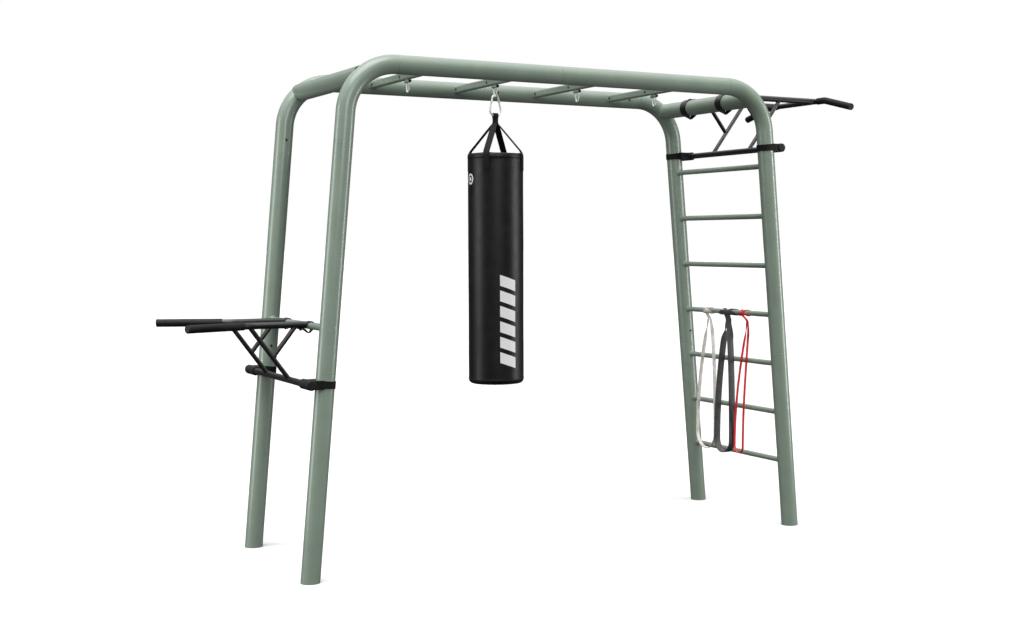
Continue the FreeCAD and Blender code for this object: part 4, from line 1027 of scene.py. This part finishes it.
class MONKEYBARS_OT_bands(bpy.types.Operator):
    """Builds the three exercise bands, each one flat loop hitched round a ladder rung"""
    bl_idname = "monkeybars.bands"
    bl_label = "Exercise bands"

    def execute(self, context):
        chosen = settings(context).band
        for colour in BAND_COLOURS:
            self.make_band(colour, chosen.thickness)
        return {"FINISHED"}

    def make_band(self, colour, thickness):
        hitch_low, hitch_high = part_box("band_" + colour + "_hitch")
        loop_low, loop_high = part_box("band_" + colour + "_loop")
        wrap_outer = (hitch_high.z - hitch_low.z) / 2
        axis = middle(hitch_low, hitch_high)
        axis.x = hitch_high.x - wrap_outer
        width = loop_high.x - loop_low.x
        out_y = (hitch_high.y - hitch_low.y) / 2 - width / 2
        gather = WIDE_GATHER if width > WIDE_BAND else THIN_GATHER
        half = self.half_line(axis, colour, loop_low, loop_high, wrap_outer - thickness / 2,
                              out_y, gather, thickness)
        there = [(place, way, breadth) for place, way, breadth, _ in half]
        back = [(Vector((place.x, 2 * axis.y - place.y, place.z)),
                 Vector((way.x, -way.y, way.z)), breadth) for place, way, breadth, _ in half]
        for (place, _, _), (other, _, _), stop in zip(there, back, half):
            if stop[3]:
                aside = self.drift(place.z, axis, colour, loop_low, loop_high)
                place.y += aside
                other.y += aside
        line, across, widths = zip(*(there + list(reversed(back))[1:]))
        name = "band_" + colour
        piece = strip_piece([(line, across, widths)], name, name, thickness,
                            closed=True, round_edge=0.0009)
        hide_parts(name + "_hitch", name + "_loop")
        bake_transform(piece)

    def drift(self, height, axis, colour, loop_low, loop_high):
        """How far a band's run has moved along the rung at a height, from its hitch's middle."""
        leave = self.mean_y(colour, loop_high.z) - axis.y
        settled = self.mean_y(colour, loop_low.z) - axis.y
        below = axis.z - height
        round_z = loop_low.z + loop_high.y - axis.y - settled
        share = share_of(below, BAND_SETTLE, axis.z - round_z)
        return (leave * smooth_share(below, *BAND_LEAVE)
                + (settled - leave) * math.sin(share * QUARTER_TURN))

    def mean_y(self, colour, height):
        """Where the middle of a measured loop lies along the rung at its top or its bottom."""
        verts = [vert.co for vert in frame["nodes"]["band_" + colour + "_loop"].data.vertices]
        ys = [co.y for co in verts if abs(co.z - height) < 0.0003]
        return (min(ys) + max(ys)) / 2

    def half_line(self, axis, colour, loop_low, loop_high, turn, out_y, gather, thickness):
        """Half of a band, from the loop's lowest point to the middle of the hitch's bight.

        Each stop holds a place, the way across the band, its breadth, and whether it hangs free.
        """
        loop_x = (loop_low.x + loop_high.x) / 2
        width = loop_high.x - loop_low.x
        hang = loop_high.y - self.mean_y(colour, loop_low.z) - thickness / 2
        bottom = loop_low.z + hang + thickness / 2
        peak = axis.z - BAND_PEAK
        in_y = 0.5 * gather * width + STRAND_GAP
        front = axis.x - turn
        neck_z = axis.z - BAND_NECK
        stops = []
        for k in range(BEND_COUNT + 1):
            angle = QUARTER_TURN * k / BEND_COUNT
            place = Vector((loop_x, axis.y + hang * math.sin(angle),
                            bottom - hang * math.cos(angle)))
            stops.append((place, X_AXIS.copy(), width, True))
        for k in range(1, HANG_COUNT + 1):
            height = bottom + (neck_z - bottom) * k / HANG_COUNT
            below = axis.z - height
            down = max(0.0, (peak - height) / (peak - bottom))
            bowed = hang * math.sin(down * QUARTER_TURN) ** BAND_BOW
            twist = QUARTER_TURN * smooth_share(below, *BAND_TWIST)
            pinch = share_of(below, *BAND_PINCH)
            forward = smooth_share(below, *BAND_FORWARD)
            place = Vector((loop_x + (front - loop_x) * forward,
                            axis.y + max(bowed, in_y * pinch), height))
            way = X_AXIS * math.cos(twist) + Y_AXIS * math.sin(twist)
            stops.append((place, way, width * (1 - (1 - gather) * pinch), True))
        for k in range(WRAP_COUNT + 1):
            angle = WRAP_TURN * k / WRAP_COUNT
            spread = smooth_share(angle, 0.0, WRAP_SPREAD)
            place = Vector((axis.x - turn * math.cos(angle),
                            axis.y + in_y + (out_y - in_y) * spread,
                            axis.z + turn * math.sin(angle)))
            breadth = width * (gather + (1 - gather) * spread)
            stops.append((place, Y_AXIS.copy(), breadth, False))
        leave = stops[-1][0]
        front -= thickness + BIGHT_GAP
        bight_z = axis.z - BIGHT_DROP
        bight = max(gather * width * BIGHT_SHARE, BIGHT_LEAST)
        for k in range(1, RISE_COUNT + 1):
            share = k / RISE_COUNT
            angle = QUARTER_TURN * share
            place = Vector((leave.x + (front - leave.x) * math.sin(angle),
                            axis.y + out_y * (1 - 0.5 * (1 - math.cos(angle))),
                            leave.z + (bight_z - leave.z) * math.sin(angle)))
            way = Y_AXIS * math.cos(angle) + Z_AXIS * math.sin(angle)
            stops.append((place, way, width + (bight - width) * share, False))
        last = stops[-1][0]
        for k in range(1, BIGHT_COUNT + 1):
            share = k / BIGHT_COUNT
            place = Vector((front - BIGHT_BULGE * math.sin(share * QUARTER_TURN),
                            last.y + (axis.y - last.y) * share, bight_z))
            stops.append((place, Z_AXIS.copy(), bight, False))
        return stops


class MONKEYBARS_OT_stage(bpy.types.Operator):
    """Sets the pale floor, the soft studio lights and the camera"""
    bl_idname = "monkeybars.stage"
    bl_label = "Stage"

    def execute(self, context):
        chosen = settings(context).stage
        scene = context.scene
        scene.view_settings.view_transform = "Standard"
        self.make_floor(chosen)
        self.make_world(scene)
        self.make_lights(scene, chosen)
        self.make_camera(scene, chosen)
        return {"FINISHED"}

    def make_floor(self, chosen):
        form = bmesh.new()
        bmesh.ops.create_grid(form, x_segments=1, y_segments=1, size=300.0)
        floor = as_object(form, "studio_floor")
        tree, shader, place = start_finish("floor_paint")
        shade = to_range(tree, noise_texture(tree, place, 0.8, 2.0), 0.99, 1.01)
        join(tree, shader, Base_Color=tinted(tree, chosen.floor, shade), Roughness=0.9,
             Specular_IOR_Level=0.0)
        floor.data.materials.append(bpy.data.materials["floor_paint"])
        floor.visible_diffuse = False
        floor.visible_glossy = False

    def make_world(self, scene):
        """White behind the object; a dim room that is brighter above than below round it."""
        world = bpy.data.worlds.new("studio")
        scene.world = world
        world.use_nodes = True
        tree = world.node_tree
        tree.nodes.clear()
        ray = node(tree, "ShaderNodeLightPath")
        up = node(tree, "ShaderNodeSeparateXYZ",
                  {0: node(tree, "ShaderNodeTexCoord").outputs["Generated"]})
        mirrored = to_range(tree, up.outputs["Z"], 0.06, 2.2, 0.25, 0.95)
        spread = to_range(tree, up.outputs["Z"], 0.08, 0.50, -0.5, 0.7)
        glossy = ray.outputs["Is Glossy Ray"]
        not_glossy = calculate(tree, "SUBTRACT", 1.0, glossy)
        lit = calculate(tree, "ADD", times(tree, mirrored, glossy), times(tree, spread, not_glossy))
        room = node(tree, "ShaderNodeBackground", {"Color": (1, 1, 1, 1), "Strength": lit})
        behind = node(tree, "ShaderNodeBackground", {"Color": (1, 1, 1, 1), "Strength": 1.0})
        both = node(tree, "ShaderNodeMixShader",
                    {0: ray.outputs["Is Camera Ray"], 1: room.outputs[0], 2: behind.outputs[0]})
        node(tree, "ShaderNodeOutputWorld", {"Surface": both.outputs[0]})

    def make_lights(self, scene, chosen):
        sun = bpy.data.lights.new("broad_top_light", "SUN")
        sun.energy = chosen.sun
        sun.angle = math.radians(55)
        self.place_light(scene, sun, Vector((-1.2, -1.6, 5.0)), Vector((0, 0, 0)))
        aim = Vector((0, 0, 1.3))
        for name, place, width, height, power in (
                ("left_strip_light", Vector((-4.6, 0.9, 1.7)), 1.6, 3.4, chosen.side * 0.3),
                ("right_strip_light", Vector((5.0, -2.6, 1.7)), 0.4, 3.6, chosen.side * 0.5),
                ("front_fill_light", Vector((-2.0, -6.5, 3.6)), 2.6, 2.0, chosen.side * 0.35)):
            lamp = bpy.data.lights.new(name, "AREA")
            lamp.shape = "RECTANGLE"
            lamp.size = width
            lamp.size_y = height
            lamp.energy = power
            self.place_light(scene, lamp, place, aim)

    def place_light(self, scene, lamp, place, aim):
        holder = bpy.data.objects.new(lamp.name, lamp)
        holder.location = place
        holder.rotation_euler = (aim - place).to_track_quat("-Z", "Y").to_euler()
        scene.collection.objects.link(holder)

    def make_camera(self, scene, chosen):
        lens = bpy.data.cameras.new("camera")
        lens.lens = chosen.lens
        lens.sensor_width = 36.0
        lens.shift_x = -0.0749
        lens.shift_y = 0.0087
        lens.clip_end = 500.0
        camera = bpy.data.objects.new("camera", lens)
        first_rung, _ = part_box("monkey_rung_1")
        _, last_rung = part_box("monkey_rung_" + str(RUNG_COUNT))
        camera.location = Vector(chosen.eye) + X_AXIS * middle(first_rung, last_rung).x
        camera.rotation_euler = (QUARTER_TURN - chosen.dip, 0, chosen.heading)
        scene.collection.objects.link(camera)
        scene.camera = camera


class MONKEYBARS_PT_panel(bpy.types.Panel):
    """Lists the pieces of the monkey bars and their sizes and colours"""
    bl_idname = "MONKEYBARS_PT_panel"
    bl_label = "Monkey Bars"
    bl_space_type = "VIEW_3D"
    bl_region_type = "UI"
    bl_category = "Monkey Bars"

    def draw(self, context):
        chosen = settings(context)
        groups = ((chosen.paint, "monkeybars.finishes"), (chosen.paint, "monkeybars.welds"),
                  (chosen.bag, "monkeybars.punch_bag"), (chosen.strap, "monkeybars.bag_straps"),
                  (chosen.band, "monkeybars.bands"), (chosen.stage, "monkeybars.stage"))
        shown = []
        for group, operator in groups:
            box = self.layout.box()
            box.operator(operator)
            if group in shown:
                continue
            shown.append(group)
            for name in group.bl_rna.properties.keys():
                if name not in ("rna_type", "name"):
                    box.prop(group, name)


CLASSES = (
    PaintSettings, BagSettings, StrapSettings, BandSettings, StageSettings, MonkeyBarsSettings,
    MONKEYBARS_OT_finishes, MONKEYBARS_OT_welds, MONKEYBARS_OT_punch_bag,
    MONKEYBARS_OT_bag_straps, MONKEYBARS_OT_bands, MONKEYBARS_OT_stage, MONKEYBARS_PT_panel,
)


def register():
    for item in CLASSES:
        bpy.utils.register_class(item)
    bpy.types.Scene.monkey_bars = PointerProperty(type=MonkeyBarsSettings)


def unregister():
    del bpy.types.Scene.monkey_bars
    for item in reversed(CLASSES):
        bpy.utils.unregister_class(item)


def main():
    register()
    bpy.ops.monkeybars.finishes()
    bpy.ops.monkeybars.welds()
    bpy.ops.monkeybars.punch_bag()
    bpy.ops.monkeybars.bag_straps()
    bpy.ops.monkeybars.bands()
    bpy.ops.monkeybars.stage()


if __name__ == "__main__":
    main()
